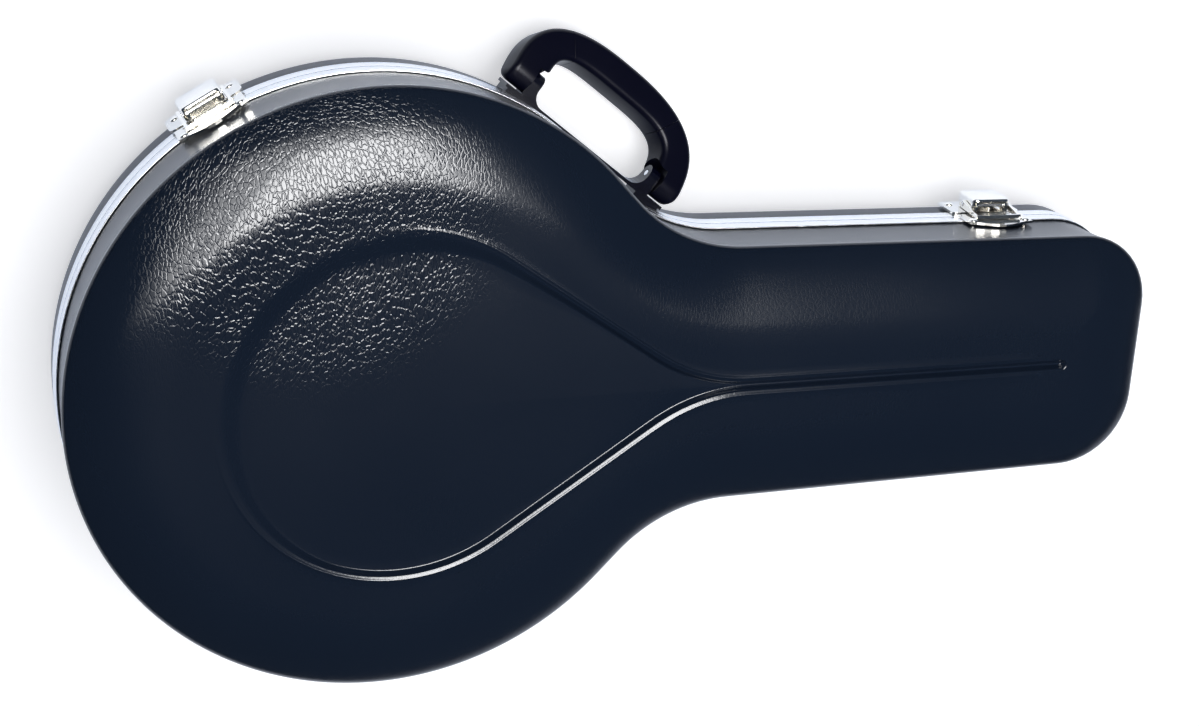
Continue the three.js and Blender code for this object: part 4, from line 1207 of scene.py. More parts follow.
@dataclass
class Shells:
    """The moulded lid and base, in millimetres.

    Attributes:
        wall: The shells' thickness.
        base_edge: The height of the base shell's upper edge, inside its rim.
        lid_edge: The height of the lid shell's lower edge, inside its rim.
        base_crease: The height at which the base's wall turns into its shoulder.
        lid_crease: The same for the lid.
        crown: The height of the lid's face.
        lid_shoulder: The width of the lid's rounded shoulder.
        shoulder_out: How far outside the outline the lid's shoulder starts.
        base_shoulder: The width of the base's rounded shoulder.
        power: How quickly a shoulder flattens.
        lean: How far the lid's wall leans out at its crease.
        relief_depth: The depth of the recess.
        relief_slope: The width of the recess's crisp edge.
        soft_slope: The width that its edge widens by on the side of the rim's back.
        floor_dome: How far the recess's floor rises in its middle.
        bead: The width and the height of the bead along the recess's crisp edge.
        bead_end: How far before the groove's end the bead is gone, and how long it fades.
        wall_foot: The height where the lid's wall starts to lean.
        lean_power: How late the lean comes.
        crease_round: How far from the crease its round starts.
        crease_corner: The round's corner, out from the lean and up.
        shoulder_starts: How far along the lid's and the base's shoulder its rows begin.
        shoulder_steps: The number of rows of a shoulder, and their crowding at its start.
        soft_side: The direction in which the recess's edge is softest.
        soft_share: How the softness starts, grows and bends.
        soft_reach: The share of the way to the spine that the soft edge may take.
        relief_out: How far outside the recess's outline its edge starts.
        outer_share: Where the loop outside the bead lies, on the way to the rim.
        relief_steps: The number of bands down the recess's edge.
        floor_power: How quickly the recess's floor flattens.
        groove_end: How far along X the recess's middle line reaches.
        base_spine: The same for the base's underside.
        base_wall: Sections of the base's wall below its edge.
    """

    wall: float = 2.6
    base_edge: float = 46.85
    lid_edge: float = 53.15
    wall_foot: float = 60.0
    base_crease: float = 23.0
    lid_crease: float = 106.6
    crown: float = 127.0
    lid_shoulder: float = 62.0
    shoulder_out: float = 2.0
    base_shoulder: float = 36.0
    power: float = 2.4
    lean: float = 3.2
    lean_power: float = 2.1
    crease_round: float = 2.5
    relief_depth: float = 3.6
    relief_slope: float = 3.1
    soft_slope: float = 13.0
    soft_side: float = math.radians(140)
    floor_dome: float = 1.9
    bead: Pair = (3.6, 0.75)
    bead_end: Pair = (12.0, 30.0)
    groove_end: float = 444.0
    base_spine: float = 451.0
    shoulder_steps: tuple[int, float] = (26, 1.25)
    crease_corner: Pair = (0.41, 2.7)
    shoulder_starts: Pair = (2.8, 1.6)
    soft_share: Triple = (0.35, 1.1, 1.2)
    soft_reach: float = 0.6
    relief_out: float = 0.6
    outer_share: float = 0.25
    relief_steps: int = 14
    floor_power: float = 2.2
    base_wall: tuple[Pair, ...] = (
        (0.0, 40.0), (0.25, 33.0), (0.5, 25.4), (0.35, 23.6), (-0.4, 22.4),
    )

    def _rise(self, inset: float, width: float) -> float:
        """The share of a shoulder's rise at an inset from its start."""
        return 1 - (1 - min(inset, width) / width) ** self.power

    def _shoulder(self, out: float, start: float, width: float, foot: float, top: float) -> Rows:
        """Sections of a shoulder as outward distance and height, from an inset to its end.

        Args:
            out: How far outside the outline it starts.
            start: The first row's inset.
            width: The shoulder's width.
            foot: The height where it starts.
            top: The height where it ends.

        Returns:
            Outward distances and heights.
        """
        rows = []
        steps, crowding = self.shoulder_steps
        for i in range(steps + 1):
            inset = start + (width - start) * (i / steps) ** crowding
            rows.append((out - inset, foot + (top - foot) * self._rise(inset, width)))
        return rows

    def lid_rows(
        self, inset: float = 0.0, foot: float | None = None, drop: float = 0.0
    ) -> Rows:
        """Sections of the lid's skin from its lower edge to its face.

        Args:
            inset: How far inside the lid's outer skin.
            foot: The lower edge's height, by default the shell's own.
            drop: How far the face lies below its place at that inset.

        Returns:
            Outward distances and heights.
        """
        foot = self.lid_edge if foot is None else foot
        crease = self.lid_crease + self.crease_round / 2 - inset
        out, start = self.shoulder_out - inset, self.shoulder_starts[0]
        face = self.crown - inset - drop
        shoulder = self._shoulder(out, start, self.lid_shoulder, crease, face)
        top = self.lid_crease - self.crease_round - inset / 2
        low, high = np.array((self.lean - inset, top)), np.array(shoulder[0])
        corner_out, corner_up = self.crease_corner
        corner = np.array((self.lean + corner_out - inset, top + corner_up))
        crease_rows = [tuple(bend(low, corner, high, t)) for t in np.linspace(0, 1, 9)[:-1]]
        walls = []
        for share in (0.0, 0.15, 0.3, 0.45, 0.6, 0.75, 0.9):
            z = self.wall_foot + (top - self.wall_foot) * share
            walls.append((self.lean * share**self.lean_power - inset, z))
        walls = [row for row in walls if row[1] > foot]
        return [(-inset, foot)] + walls + crease_rows + shoulder

    def _softness(self, ribs: Array) -> Array:
        """For each rib, the share of the soft edge that it has, with none along the neck.

        Args:
            ribs: The ribs' outer ends.

        Returns:
            A column of shares.
        """
        angle = np.arctan2(ribs[:, 1], ribs[:, 0])
        facing = np.cos(angle - self.soft_side)
        start, growth, power = self.soft_share
        return np.clip((facing + start) / growth, 0, 1)[:, None] ** power

    def build_lid(self) -> Piece:
        """Builds the lid with the recess in its face.

        Returns:
            The lid's shell.
        """
        rows = self.lid_rows()
        loops = [at_height(CASE.loop(out), z) for out, z in rows]
        rim = CASE.loop(rows[-1][0])
        spine = RELIEF.spine(self.groove_end)
        softness = self._softness(rim)
        edge = crossings(rim, spine, RELIEF.loop(self.relief_out))
        width, height = self.bead
        before_end = (self.groove_end - self.bead_end[0] - edge[:, 0]) / self.bead_end[1]
        kept = np.clip(before_end, 0, 1)
        beside = crossings(rim, spine, RELIEF.loop(self.relief_out + width))
        outer_edge = mixed(mixed(edge, rim, self.outer_share), beside, kept[:, None])
        height *= kept * (1 - softness[:, 0])
        for share in (0.3, 0.7, 1.0):
            loops.append(at_height(mixed(rim, outer_edge, share), self.crown))
        for share in (0.15, 0.3, 0.45, 0.6, 0.75, 0.9):
            rise = height * math.sin(math.pi * share) ** 2
            loops.append(np.column_stack((mixed(outer_edge, edge, share), self.crown + rise)))
        inward = spine - edge
        reach = np.linalg.norm(inward, axis=1, keepdims=True)
        limit = np.minimum(self.soft_slope, reach * self.soft_reach)
        slope = self.relief_slope + self.relief_out
        for i in range(self.relief_steps + 1):
            share = i / self.relief_steps
            crisp = crossings(rim, spine, RELIEF.loop(self.relief_out - slope * share))
            soft = crisp + inward / np.maximum(reach, TINY) * limit * share
            fall = share * share * (3 - 2 * share)
            floor = mixed(crisp, soft, softness)
            loops.append(at_height(floor, self.crown - self.relief_depth * fall))
        last = loops[-1][:, :2]
        reach = np.linalg.norm(spine - last, axis=1)
        for share in (0.08, 0.2, 0.35, 0.5, 0.68, 0.84, 1.0):
            depth = np.minimum(reach * share / RELIEF.radius, 1.0)
            rise = self.floor_dome * (1 - (1 - depth) ** self.floor_power)
            height = self.crown - self.relief_depth + rise
            loops.append(np.column_stack((mixed(last, spine, share), height)))
        made = Form().skin(loops).to_object("lid_shell.skin", SHELL)
        thickened(made, self.wall)
        log.info("lid shell: %d faces", len(made.data.polygons))
        return made

    def build_base(self) -> Piece:
        """Builds the base with its flat underside.

        Returns:
            The base's shell.
        """
        start = self.shoulder_starts[1]
        shoulder = self._shoulder(0.0, start, self.base_shoulder, self.base_crease, 0.0)
        rows = [(0.0, self.base_edge), *self.base_wall, *shoulder]
        loops = [at_height(CASE.loop(out), z) for out, z in rows]
        spine = at_height(CASE.spine(self.base_spine), 0.0)
        last = loops[-1]
        loops += [mixed(last, spine, 0.3), mixed(last, spine, 0.7), spine]
        made = Form().skin(loops).to_object("base_shell.skin", BASE_SHELL)
        thickened(made, self.wall)
        log.info("base shell: %d faces", len(made.data.polygons))
        return made

    def dress(self) -> None:
        """Builds both shells and ties them to their bodies."""
        settle(self.build_lid(), "lid", "shell", "lid_shell")
        settle(self.build_base(), "case_base", "shell", "base_shell")


def settle(made: Piece, body: str, slot: str, *nodes: str) -> None:
    """Ties a piece to a body and hides the nodes that it stands for.

    Args:
        made: The piece.
        body: The body that it rides on.
        slot: Not used.
        *nodes: The nodes that it stands for.
    """
    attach(made, body)
    if nodes:
        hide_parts(*nodes)
    log.info("piece %s rides on %s", made.name, body)


def finish_node(node: str, finish: Finish, rounding: float = 0.0) -> None:
    """Gives a node of the frame its finish, and rounds its edges by a width in millimetres.

    Args:
        node: The node's name.
        finish: Its finish.
        rounding: The rounds' width.
    """
    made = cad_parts[node]
    made.data.materials.clear()
    made.data.materials.append(finish.build())
    if rounding:
        weld = made.modifiers.new("weld", "WELD")
        weld.merge_threshold = WELD
        bevelled(made, rounding)
    log.info("node %s is %s", node, finish.name)


@dataclass
class Valances:
    """The bright metal rims that meet at the seam.

    Attributes:
        proud: How far a rim stands off the wall.
        base_foot: The lower edge of the base's rim.
        base_top: The seam's lower side.
        lid_foot: The seam's upper side.
        lid_top: The upper edge of the lid's rim.
        inner: How far the rim reaches inward.
        tongue: The base rim's tongue, as its inner and its outer side.
        tongue_height: The tongue's height.
        gap: The clearance round the tongue and outside the shells.
        channel: The channel for a shell's edge: its inner side, and the levels of its ends in
            the base's rim and in the lid's.
        edge_round: The radius of the section's corners.
    """

    proud: float = 1.4
    base_foot: float = 40.0
    base_top: float = 49.85
    lid_foot: float = 50.15
    lid_top: float = 60.0
    inner: float = 4.3
    tongue: Pair = (-2.05, -0.55)
    tongue_height: float = 1.9
    gap: float = 0.3
    channel: tuple[float, float, float, float, float] = (-2.9, 41.1, 47.15, 52.85, 58.9)
    edge_round: float = 0.45

    def build_base(self) -> Piece:
        """Builds the base's rim with its tongue.

        Returns:
            The base's rim.
        """
        into, out = self.tongue
        side, low, high = self.channel[:3]
        tip = self.base_top + self.tongue_height
        section = [
            (self.gap, self.base_foot), (self.proud, self.base_foot), (self.proud, self.base_top),
            (out, self.base_top), (out, tip), (into, tip), (into, self.base_top),
            (-self.inner, self.base_top), (-self.inner, low), (side, low), (side, high),
            (self.gap, high),
        ]
        return self._ring("base_valance.rim", section)

    def build_lid(self) -> Piece:
        """Builds the lid's rim with its groove.

        Returns:
            The lid's rim.
        """
        into, out = self.tongue[0] - self.gap, self.tongue[1] + self.gap
        side, low, high = self.channel[0], *self.channel[3:]
        roof = self.base_top + self.tongue_height + self.gap
        section = [
            (out, self.lid_foot), (self.proud, self.lid_foot), (self.proud, self.lid_top),
            (self.gap, self.lid_top), (self.gap, low), (side, low), (side, high),
            (-self.inner, high), (-self.inner, self.lid_foot), (into, self.lid_foot),
            (into, roof), (out, roof),
        ]
        return self._ring("lid_valance.rim", section)

    def _ring(self, name: str, section: list) -> Piece:
        """Runs a rounded section round the case.

        Args:
            name: The rim's name.
            section: Its corners, outward and up.

        Returns:
            The rim.
        """
        rows = rounded_corners(section, self.edge_round)
        loops = [at_height(CASE.loop(out), z) for out, z in rows]
        return Form().skin(loops, closed=True).to_object(name, RIM_METAL)

    def dress(self) -> None:
        """Builds both rims and ties them to their bodies."""
        settle(self.build_base(), "case_base", "valance", "base_valance")
        settle(self.build_lid(), "lid", "valance", "lid_valance")


# Latches and hinges


BODY_LATCH_ANGLE = 120.8
NECK_LATCH_PLACE = 424.0


class LatchSite(Enum):
    """Which latch: on the round body, or on the neck."""

    BODY = "body_latch"
    NECK = "neck_latch"

    def matrix(self) -> Matrix:
        """The latch's frame, with X along the rim, Y outward and Z up, in millimetres.

        Returns:
            The matrix.
        """
        if self is LatchSite.BODY:
            angle = math.radians(BODY_LATCH_ANGLE)
            place = Vector((math.cos(angle), math.sin(angle), 0)) * CASE.radius
        else:
            angle = math.pi / 2 + math.atan(CASE.slope)
            place = Vector((NECK_LATCH_PLACE, CASE.half_width(NECK_LATCH_PLACE), 0))
        return Matrix.Translation(place) @ Matrix.Rotation(angle - math.pi / 2, 4, "Z")


@dataclass
class Latch:
    """One draw latch: base plate, domed lever, loop, two pins and strike plate, in millimetres.

    Attributes:
        site: Which latch it is.
        half_width: Half the lever's width.
        low: The height of the lever's free end.
        high: The height of its end beside the pivot.
        face: How far the lever's face stands off the wall line.
        dome: How far the face rises above its edge.
        edge_round: The radius of the face's edge.
        wall: The lever's sheet thickness.
        foot: How far the skirts' feet stand off the wall line.
        pivot: The pivot's distance off the wall line and height.
        bail_pivot: The same for the loop's pivot.
        rivet_span: The rivets' distance from the plate's middle.
        corner: The radius of the lever's corners.
        swing_radius: The space that the lever's skirts leave round its pivot.
        pin_radius: The radius of both pins.
        bail_reach: Half the length of the loop's pin.
        plate_front: How far the plates' faces stand off the wall line.
        base_rivet: The height of the rivets of the base plate.
        strike_rivet: The height of the rivets of the strike.
        plate_round: The rounding of the plates' edges.
        bail_round: The rounding of the loop's edges.
    """

    site: LatchSite
    half_width: float = 13.5
    low: float = 29.0
    high: float = 53.0
    corner: float = 4.6
    face: float = 15.0
    dome: float = 1.3
    edge_round: float = 1.5
    wall: float = 1.2
    foot: float = 4.2
    swing_radius: float = 4.8
    pivot: Pair = (9.0, 50.0)
    bail_pivot: Pair = (7.6, 42.0)
    pin_radius: float = 1.3
    bail_reach: float = 16.2
    plate_front: float = 3.3
    rivet_span: float = 19.0
    base_rivet: float = 28.0
    strike_rivet: float = 65.15
    plate_round: float = 0.3
    bail_round: float = 0.5

    def _outline(self) -> Array:
        """The face's outline, with points close together on its straight sides.

        Returns:
            Places along the rim and up.
        """
        half, low, high = self.half_width, self.low, self.high
        corners = [(-half, low), (half, low), (half, high), (-half, high)]
        rounded = rounded_corners(corners, self.corner, 8)
        made = []
        for start, end in zip(rounded, np.roll(rounded, -1, axis=0)):
            count = max(1, int(np.linalg.norm(end - start) / 1.0))
            made += [start + (end - start) * i / count for i in range(count)]
        return np.array(made)

    def _skirt_foot(self, x: float, z: float) -> float:
        """How far off the wall line a skirt ends, so that the lever can swing.

        Args:
            x: The place along the rim.
            z: Its height.

        Returns:
            The distance.
        """
        near = z - self.pivot[1]
        if near <= 0:
            return self.foot
        if abs(x) < self.half_width - self.wall:
            return self.face - self.dome - self.edge_round - 0.2
        return self.pivot[0] - math.sqrt(max(0.0, self.swing_radius**2 - near**2))

    def build_lever(self) -> Piece:
        """Builds the domed cap with its skirts.

        Returns:
            The lever.
        """
        outline = self._outline()
        roof = self.face - self.dome
        upright = np.array([self._skirt_foot(x, z) for x, z in outline])
        shoulder = np.full(len(outline), roof - self.edge_round)
        loops = []
        for share in (0.0, 0.5, 1.0):
            y = mixed(upright, shoulder, share)
            loops.append(np.column_stack((outline[:, 0], y, outline[:, 1])))
        for turn in np.linspace(0, math.pi / 2, 7)[1:]:
            ring = moved_outline(outline, -self.edge_round * (1 - math.cos(turn)))
            y = np.full(len(ring), roof - self.edge_round * (1 - math.sin(turn)))
            loops.append(np.column_stack((ring[:, 0], y, ring[:, 1])))
        centre = np.array((0.0, roof, (self.low + self.high) / 2))
        edge = loops[-1]
        for share in (0.1, 0.22, 0.36, 0.52, 0.7, 0.86, 0.98):
            ring = mixed(edge, centre, share)
            ring[:, 1] = roof + self.dome * (1 - (1 - share) ** 2)
            loops.append(ring)
        form = Form().skin(loops)
        first = form.count - len(outline)
        form.faces.append(tuple(range(first, first + len(outline))))
        made = form.placed(self.site.matrix()).to_object(f"{self.site.value}_lever.cap", NICKEL)
        thickened(made, self.wall)
        return made

    def _pin(self, name: str, reach: float, place: Pair) -> Piece:
        """A pin with domed ends.

        Args:
            name: The pin's name.
            reach: Half its length.
            place: Its distance off the wall line and its height.

        Returns:
            The pin.
        """
        form = pin_form(self.pin_radius, reach)
        form.placed(self.site.matrix() @ Matrix.Translation((0, *place)))
        return form.to_object(f"{self.site.value}_{name}.round", PIN_STEEL)

    def rivet_spots(self, height: float) -> list[tuple[Vector, Vector]]:
        """Places and directions of a plate's two rivets.

        Args:
            height: The rivets' height.

        Returns:
            The places and directions.
        """
        matrix = self.site.matrix()
        out = matrix.to_3x3() @ Vector((0, 1, 0))
        return [(matrix @ Vector((side * self.rivet_span, self.plate_front, height)), out)
                for side in (-1, 1)]

    def dress(self) -> None:
        """Builds the latch's pieces and finishes its nodes."""
        name = self.site.value
        settle(self.build_lever(), f"{name}_lever", "hardware", f"{name}_lever")
        lever_pin = self._pin("lever_pin", self.half_width, self.pivot)
        settle(lever_pin, "case_base", "hardware", f"{name}_lever_pin")
        bail_pin = self._pin("bail_pin", self.bail_reach, self.bail_pivot)
        settle(bail_pin, f"{name}_lever", "hardware", f"{name}_bail_pin")
        finish_node(f"{name}_bail", NICKEL, self.bail_round)
        finish_node(f"{name}_base_plate", NICKEL, self.plate_round)
        finish_node(f"{name}_strike", NICKEL, self.plate_round)


@dataclass
class Hinges:
    """The two hinges on the side away from the handle, in millimetres.

    Attributes:
        centres: The hinges' places along X.
        length: A hinge's length.
        axis: The pins' place along Y and their height.
        pin_radius: The pins' radius.
        rivet_shares: The rivets' places along a hinge, as shares of its length.
        rivet_levels: The rivets' heights on the base's and on the lid's leaf.
        face_radius: How far the leaves' faces lie from the round body's centre.
        leaf_round: The rounding of the leaves' edges.
    """

    centres: Pair = (-38.0, 38.0)
    length: float = 36.0
    axis: Pair = (-196.4, 50.0)
    pin_radius: float = 1.5
    rivet_shares: Pair = (0.2, 0.8)
    rivet_levels: Pair = (33.4, 66.6)
    face_radius: float = 193.3
    leaf_round: float = 0.3

    def rivet_spots(self, height: float) -> list[tuple[Vector, Vector]]:
        """Places and directions of the rivets on one level.

        Args:
            height: The rivets' height.

        Returns:
            The places and directions.
        """
        made = []
        for centre in self.centres:
            for share in self.rivet_shares:
                turn = math.asin((centre + (share - 0.5) * self.length) / CASE.radius)
                out = Vector((math.sin(turn), -math.cos(turn), 0))
                made.append((out * self.face_radius + Vector((0, 0, height)), out))
        return made

    def dress(self) -> None:
        """Builds the pins and finishes the leaves."""
        for name, centre in zip(("hinge_left", "hinge_right"), self.centres):
            form = pin_form(self.pin_radius, self.length / 2)
            form.placed(Matrix.Translation((centre, *self.axis)))
            pin = form.to_object(f"{name}_pin.round", PIN_STEEL)
            settle(pin, "case_base", "hardware", f"{name}_pin")
            finish_node(f"{name}_base_leaf", NICKEL, self.leaf_round)
            finish_node(f"{name}_lid_leaf", NICKEL, self.leaf_round)


# Handle


@dataclass
class Handle:
    """The moulded grip with its two end caps on a bracket with two posts, in millimetres.

    Attributes:
        angle: The bracket's direction from the body's centre, in degrees.
        along: The handle's middle along the bracket.
        height: The pins' height.
        axis_out: How far the pins stand off the body's radius.
        droop: How far the grip hangs below level, in degrees.
        outer: Half the length and the rise of the outer arch, and its power.
        inner: The same for the inner arch.
        half_width: Half the grip's thickness.
        edge: The radius of the grip's long edges.
        foot_round: The radius of the ends' outer corners.
        seam: Where a seam crosses the grip's middle line, along and up.
        seam_tilt: The seams' tilt, in degrees.
        pocket: The radius of the posts' pockets and their two ends along the axis.
        seam_gap: The seams' width.
        arch_steps: The number of bands along the arch.
        leg_steps: The number of bands round each foot.
        foot_turn: The angle at which a foot's round starts, in degrees.
        roundings: The rounding of the grip's cut edges, the ends', the bracket's and the pins'.
    """

    angle: float = 51.7
    along: float = 27.6436
    height: float = 31.0
    axis_out: float = 13.5
    droop: float = 28.3698
    outer: Triple = (72.5, 48.5, 2.6)
    inner: Triple = (48.2, 27.0, 4.0)
    half_width: float = 10.2
    edge: float = 4.0
    foot_round: float = 5.0
    seam: Pair = (46.0, 37.75)
    seam_tilt: float = -32.0
    seam_gap: float = 0.3
    pocket: Triple = (11.4, 37.3, 56.2)
    arch_steps: int = 96
    leg_steps: int = 12
    foot_turn: float = 87.0
    roundings: tuple[float, float, float, float] = (0.7, 0.6, 0.6, 0.3)

    def _frame(self) -> Matrix:
        """The bracket's frame, with X along it, Y outward and Z up.

        Returns:
            The matrix.
        """
        turn = math.radians(self.angle)
        out = Vector((math.cos(turn), math.sin(turn), 0))
        right = Vector((out.y, -out.x, 0))
        place = out * CASE.radius + right * self.along + Vector((0, 0, self.height))
        return Matrix.Translation(place) @ Matrix.Rotation(turn - math.pi / 2, 4, "Z")

    def _swing(self) -> Matrix:
        """The hanging grip's frame, in metres."""
        droop = Matrix.Rotation(-math.radians(self.droop), 4, "X")
        return self._frame() @ (Matrix.Translation((0, self.axis_out, 0)) @ droop)

    @staticmethod
    def _arch(size: Triple, turn: float) -> Array:
        """A place on a superellipse's upper half.

        Args:
            size: Half the length, the rise and the power.
            turn: The angle, in radians.

        Returns:
            The place.
        """
        length, rise, power = size
        c, s = math.cos(turn), math.sin(turn)
        x = length * math.copysign(abs(c) ** (2 / power), c)
        return np.array((x, rise * abs(s) ** (2 / power)))

    def _stations(self) -> list[tuple[Array, Array, float]]:
        """Outer place, inner place and half thickness along the grip, foot to foot.

        Returns:
            The stations.
        """
        leg = []
        half, foot = self.half_width, self.foot_round
        start = math.radians(self.foot_turn)
        for turn in np.linspace(start, 0, self.leg_steps, endpoint=False):
            y = -half * math.sin(turn)
            below = max(0.0, foot - half - y)
            inset = foot - math.sqrt(max(0.0, foot**2 - below**2))
            place = np.array((self.outer[0] - inset, y))
            leg.append((place, np.array((self.inner[0], y)), half * math.cos(turn)))
        arch = [(self._arch(self.outer, turn), self._arch(self.inner, turn), half)
                for turn in np.linspace(0, math.pi, self.arch_steps + 1)]
        mirror = np.array((-1, 1))
        return leg + arch + [(a * mirror, b * mirror, h) for a, b, h in reversed(leg)]

    def _section(self, outer: Array, inner: Array, half: float) -> Array:
        """A rounded rectangle between two places of the side view.

        Args:
            outer: The outer place.
            inner: The inner place.
            half: Half the thickness there.

        Returns:
            The section's points.
        """
        run = outer - inner
        length = float(np.linalg.norm(run))
        radius = min(self.edge, 0.96 * half, 0.45 * length)
        corners = []
        sides = ((length, half), (0.0, half), (0.0, -half), (length, -half))
        for start, (near, far) in enumerate(sides):
            u = near - radius if near else radius
            w = far - math.copysign(radius, far)
            turns = np.linspace(start * math.pi / 2, (start + 1) * math.pi / 2, 7)
            corners += [(u + radius * math.cos(a), w + radius * math.sin(a)) for a in turns]
        way = run / length
        return np.array([(inner[0] + way[0] * u, inner[1] + way[1] * u, w) for u, w in corners])

    def _whole(self) -> Piece:
        """The grip and its ends in one piece, at its place.

        Returns:
            The object.
        """
        loops = [self._section(*station) for station in self._stations()]
        form = Form().skin(loops, caps=True).placed(self._swing())
        return form.to_object("handle.whole", HANDLE_PLASTIC)

    def _seam_plane(self, side: int, offset: float) -> tuple[Vector, Vector]:
        """A place on a seam's plane and its outward direction, in the grip's own frame.

        Args:
            side: Minus one on the left, one on the right.
            offset: How far outward.

        Returns:
            The place in metres, and the direction.
        """
        tilt = math.radians(self.seam_tilt)
        normal = Vector((side * math.cos(tilt), math.sin(tilt), 0))
        place = Vector((side * self.seam[0], self.seam[1], 0)) + normal * offset
        swing = self._swing()
        return (swing @ place) * MM, (swing.to_3x3() @ normal).normalized()

    def build_grip(self, whole: Piece) -> Piece:
        """Cuts the middle out between the two seams.

        Args:
            whole: The grip and its ends in one piece.

        Returns:
            The grip.
        """
        half_gap = self.seam_gap / 2
        place, normal = self._seam_plane(1, -half_gap)
        right = sliced(whole, "handle_grip.cut", place, -normal)
        place, normal = self._seam_plane(-1, -half_gap)
        made = sliced(right, "handle_grip.moulded", place, -normal)
        bpy.data.objects.remove(right)
        eased(made, self.roundings[0], CUT_ANGLE)
        return made

    def build_end(self, whole: Piece, side: int, name: str) -> Piece:
        """Cuts one end off, with a pocket for its post.

        Args:
            whole: The grip and its ends in one piece.
            side: Minus one on the left, one on the right.
            name: The end's name.

        Returns:
            The end.
        """
        place, normal = self._seam_plane(side, self.seam_gap / 2)
        made = sliced(whole, name, place, normal)
        radius, start, end = self.pocket
        tool = lathe([(radius, side * start), (radius, side * end)], 64).placed(ALONG_X)
        cut(made, tool.placed(self._swing()).to_object("pocket.tool", HANDLE_PLASTIC))
        tidy_mesh(made.data)
        eased(made, self.roundings[1], CUT_ANGLE)
        return made

    def dress(self) -> None:
        """Builds the grip and its ends and finishes the bracket and the pins."""
        whole = self._whole()
        settle(self.build_grip(whole), "handle", "handle_plastic", "handle_grip")
        for side, name in ((-1, "handle_end_left"), (1, "handle_end_right")):
            end = self.build_end(whole, side, f"{name}.moulded")
            settle(end, "handle", "handle_plastic", name)
        bpy.data.objects.remove(whole)
        finish_node("handle_bracket", BRACKET_PLASTIC, self.roundings[2])
        for side in ("left", "right"):
            finish_node(f"handle_pin_{side}", PIN_STEEL, self.roundings[3])


# Padding and the fittings inside


def soft_waves(made: Piece, depth: float, pitch: float) -> None:
    """Gives a soft piece the slight unevenness of foam under cloth.

    Args:
        made: The piece.
        depth: How far the surface moves at most, in millimetres.
        pitch: The distance between waves, in millimetres.
    """
    work = bmesh.new()
    work.from_mesh(made.data)
    work.normal_update()
    moves = []
    for vertex in work.verts:
        wave = noise.noise(vertex.co / (pitch * MM))
        wave += 0.5 * noise.noise(vertex.co * 2.3 / (pitch * MM))
        moves.append(vertex.normal * wave * depth * MM)
    for vertex, move in zip(work.verts, moves):
        vertex.co += move
    work.to_mesh(made.data)
    work.free()


def node_sizes(node: str) -> tuple[Array, Array]:
    """A node's lowest and highest corners in millimetres."""
    low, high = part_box(node)
    return np.array(low) / MM, np.array(high) / MM


def rectangle(low: Sequence[float], high: Sequence[float], corner: float) -> Array:
    """A rounded rectangle's points, anticlockwise."""
    corners = [(low[0], low[1]), (high[0], low[1]), (high[0], high[1]), (low[0], high[1])]
    return rounded_corners(corners, corner, 6)


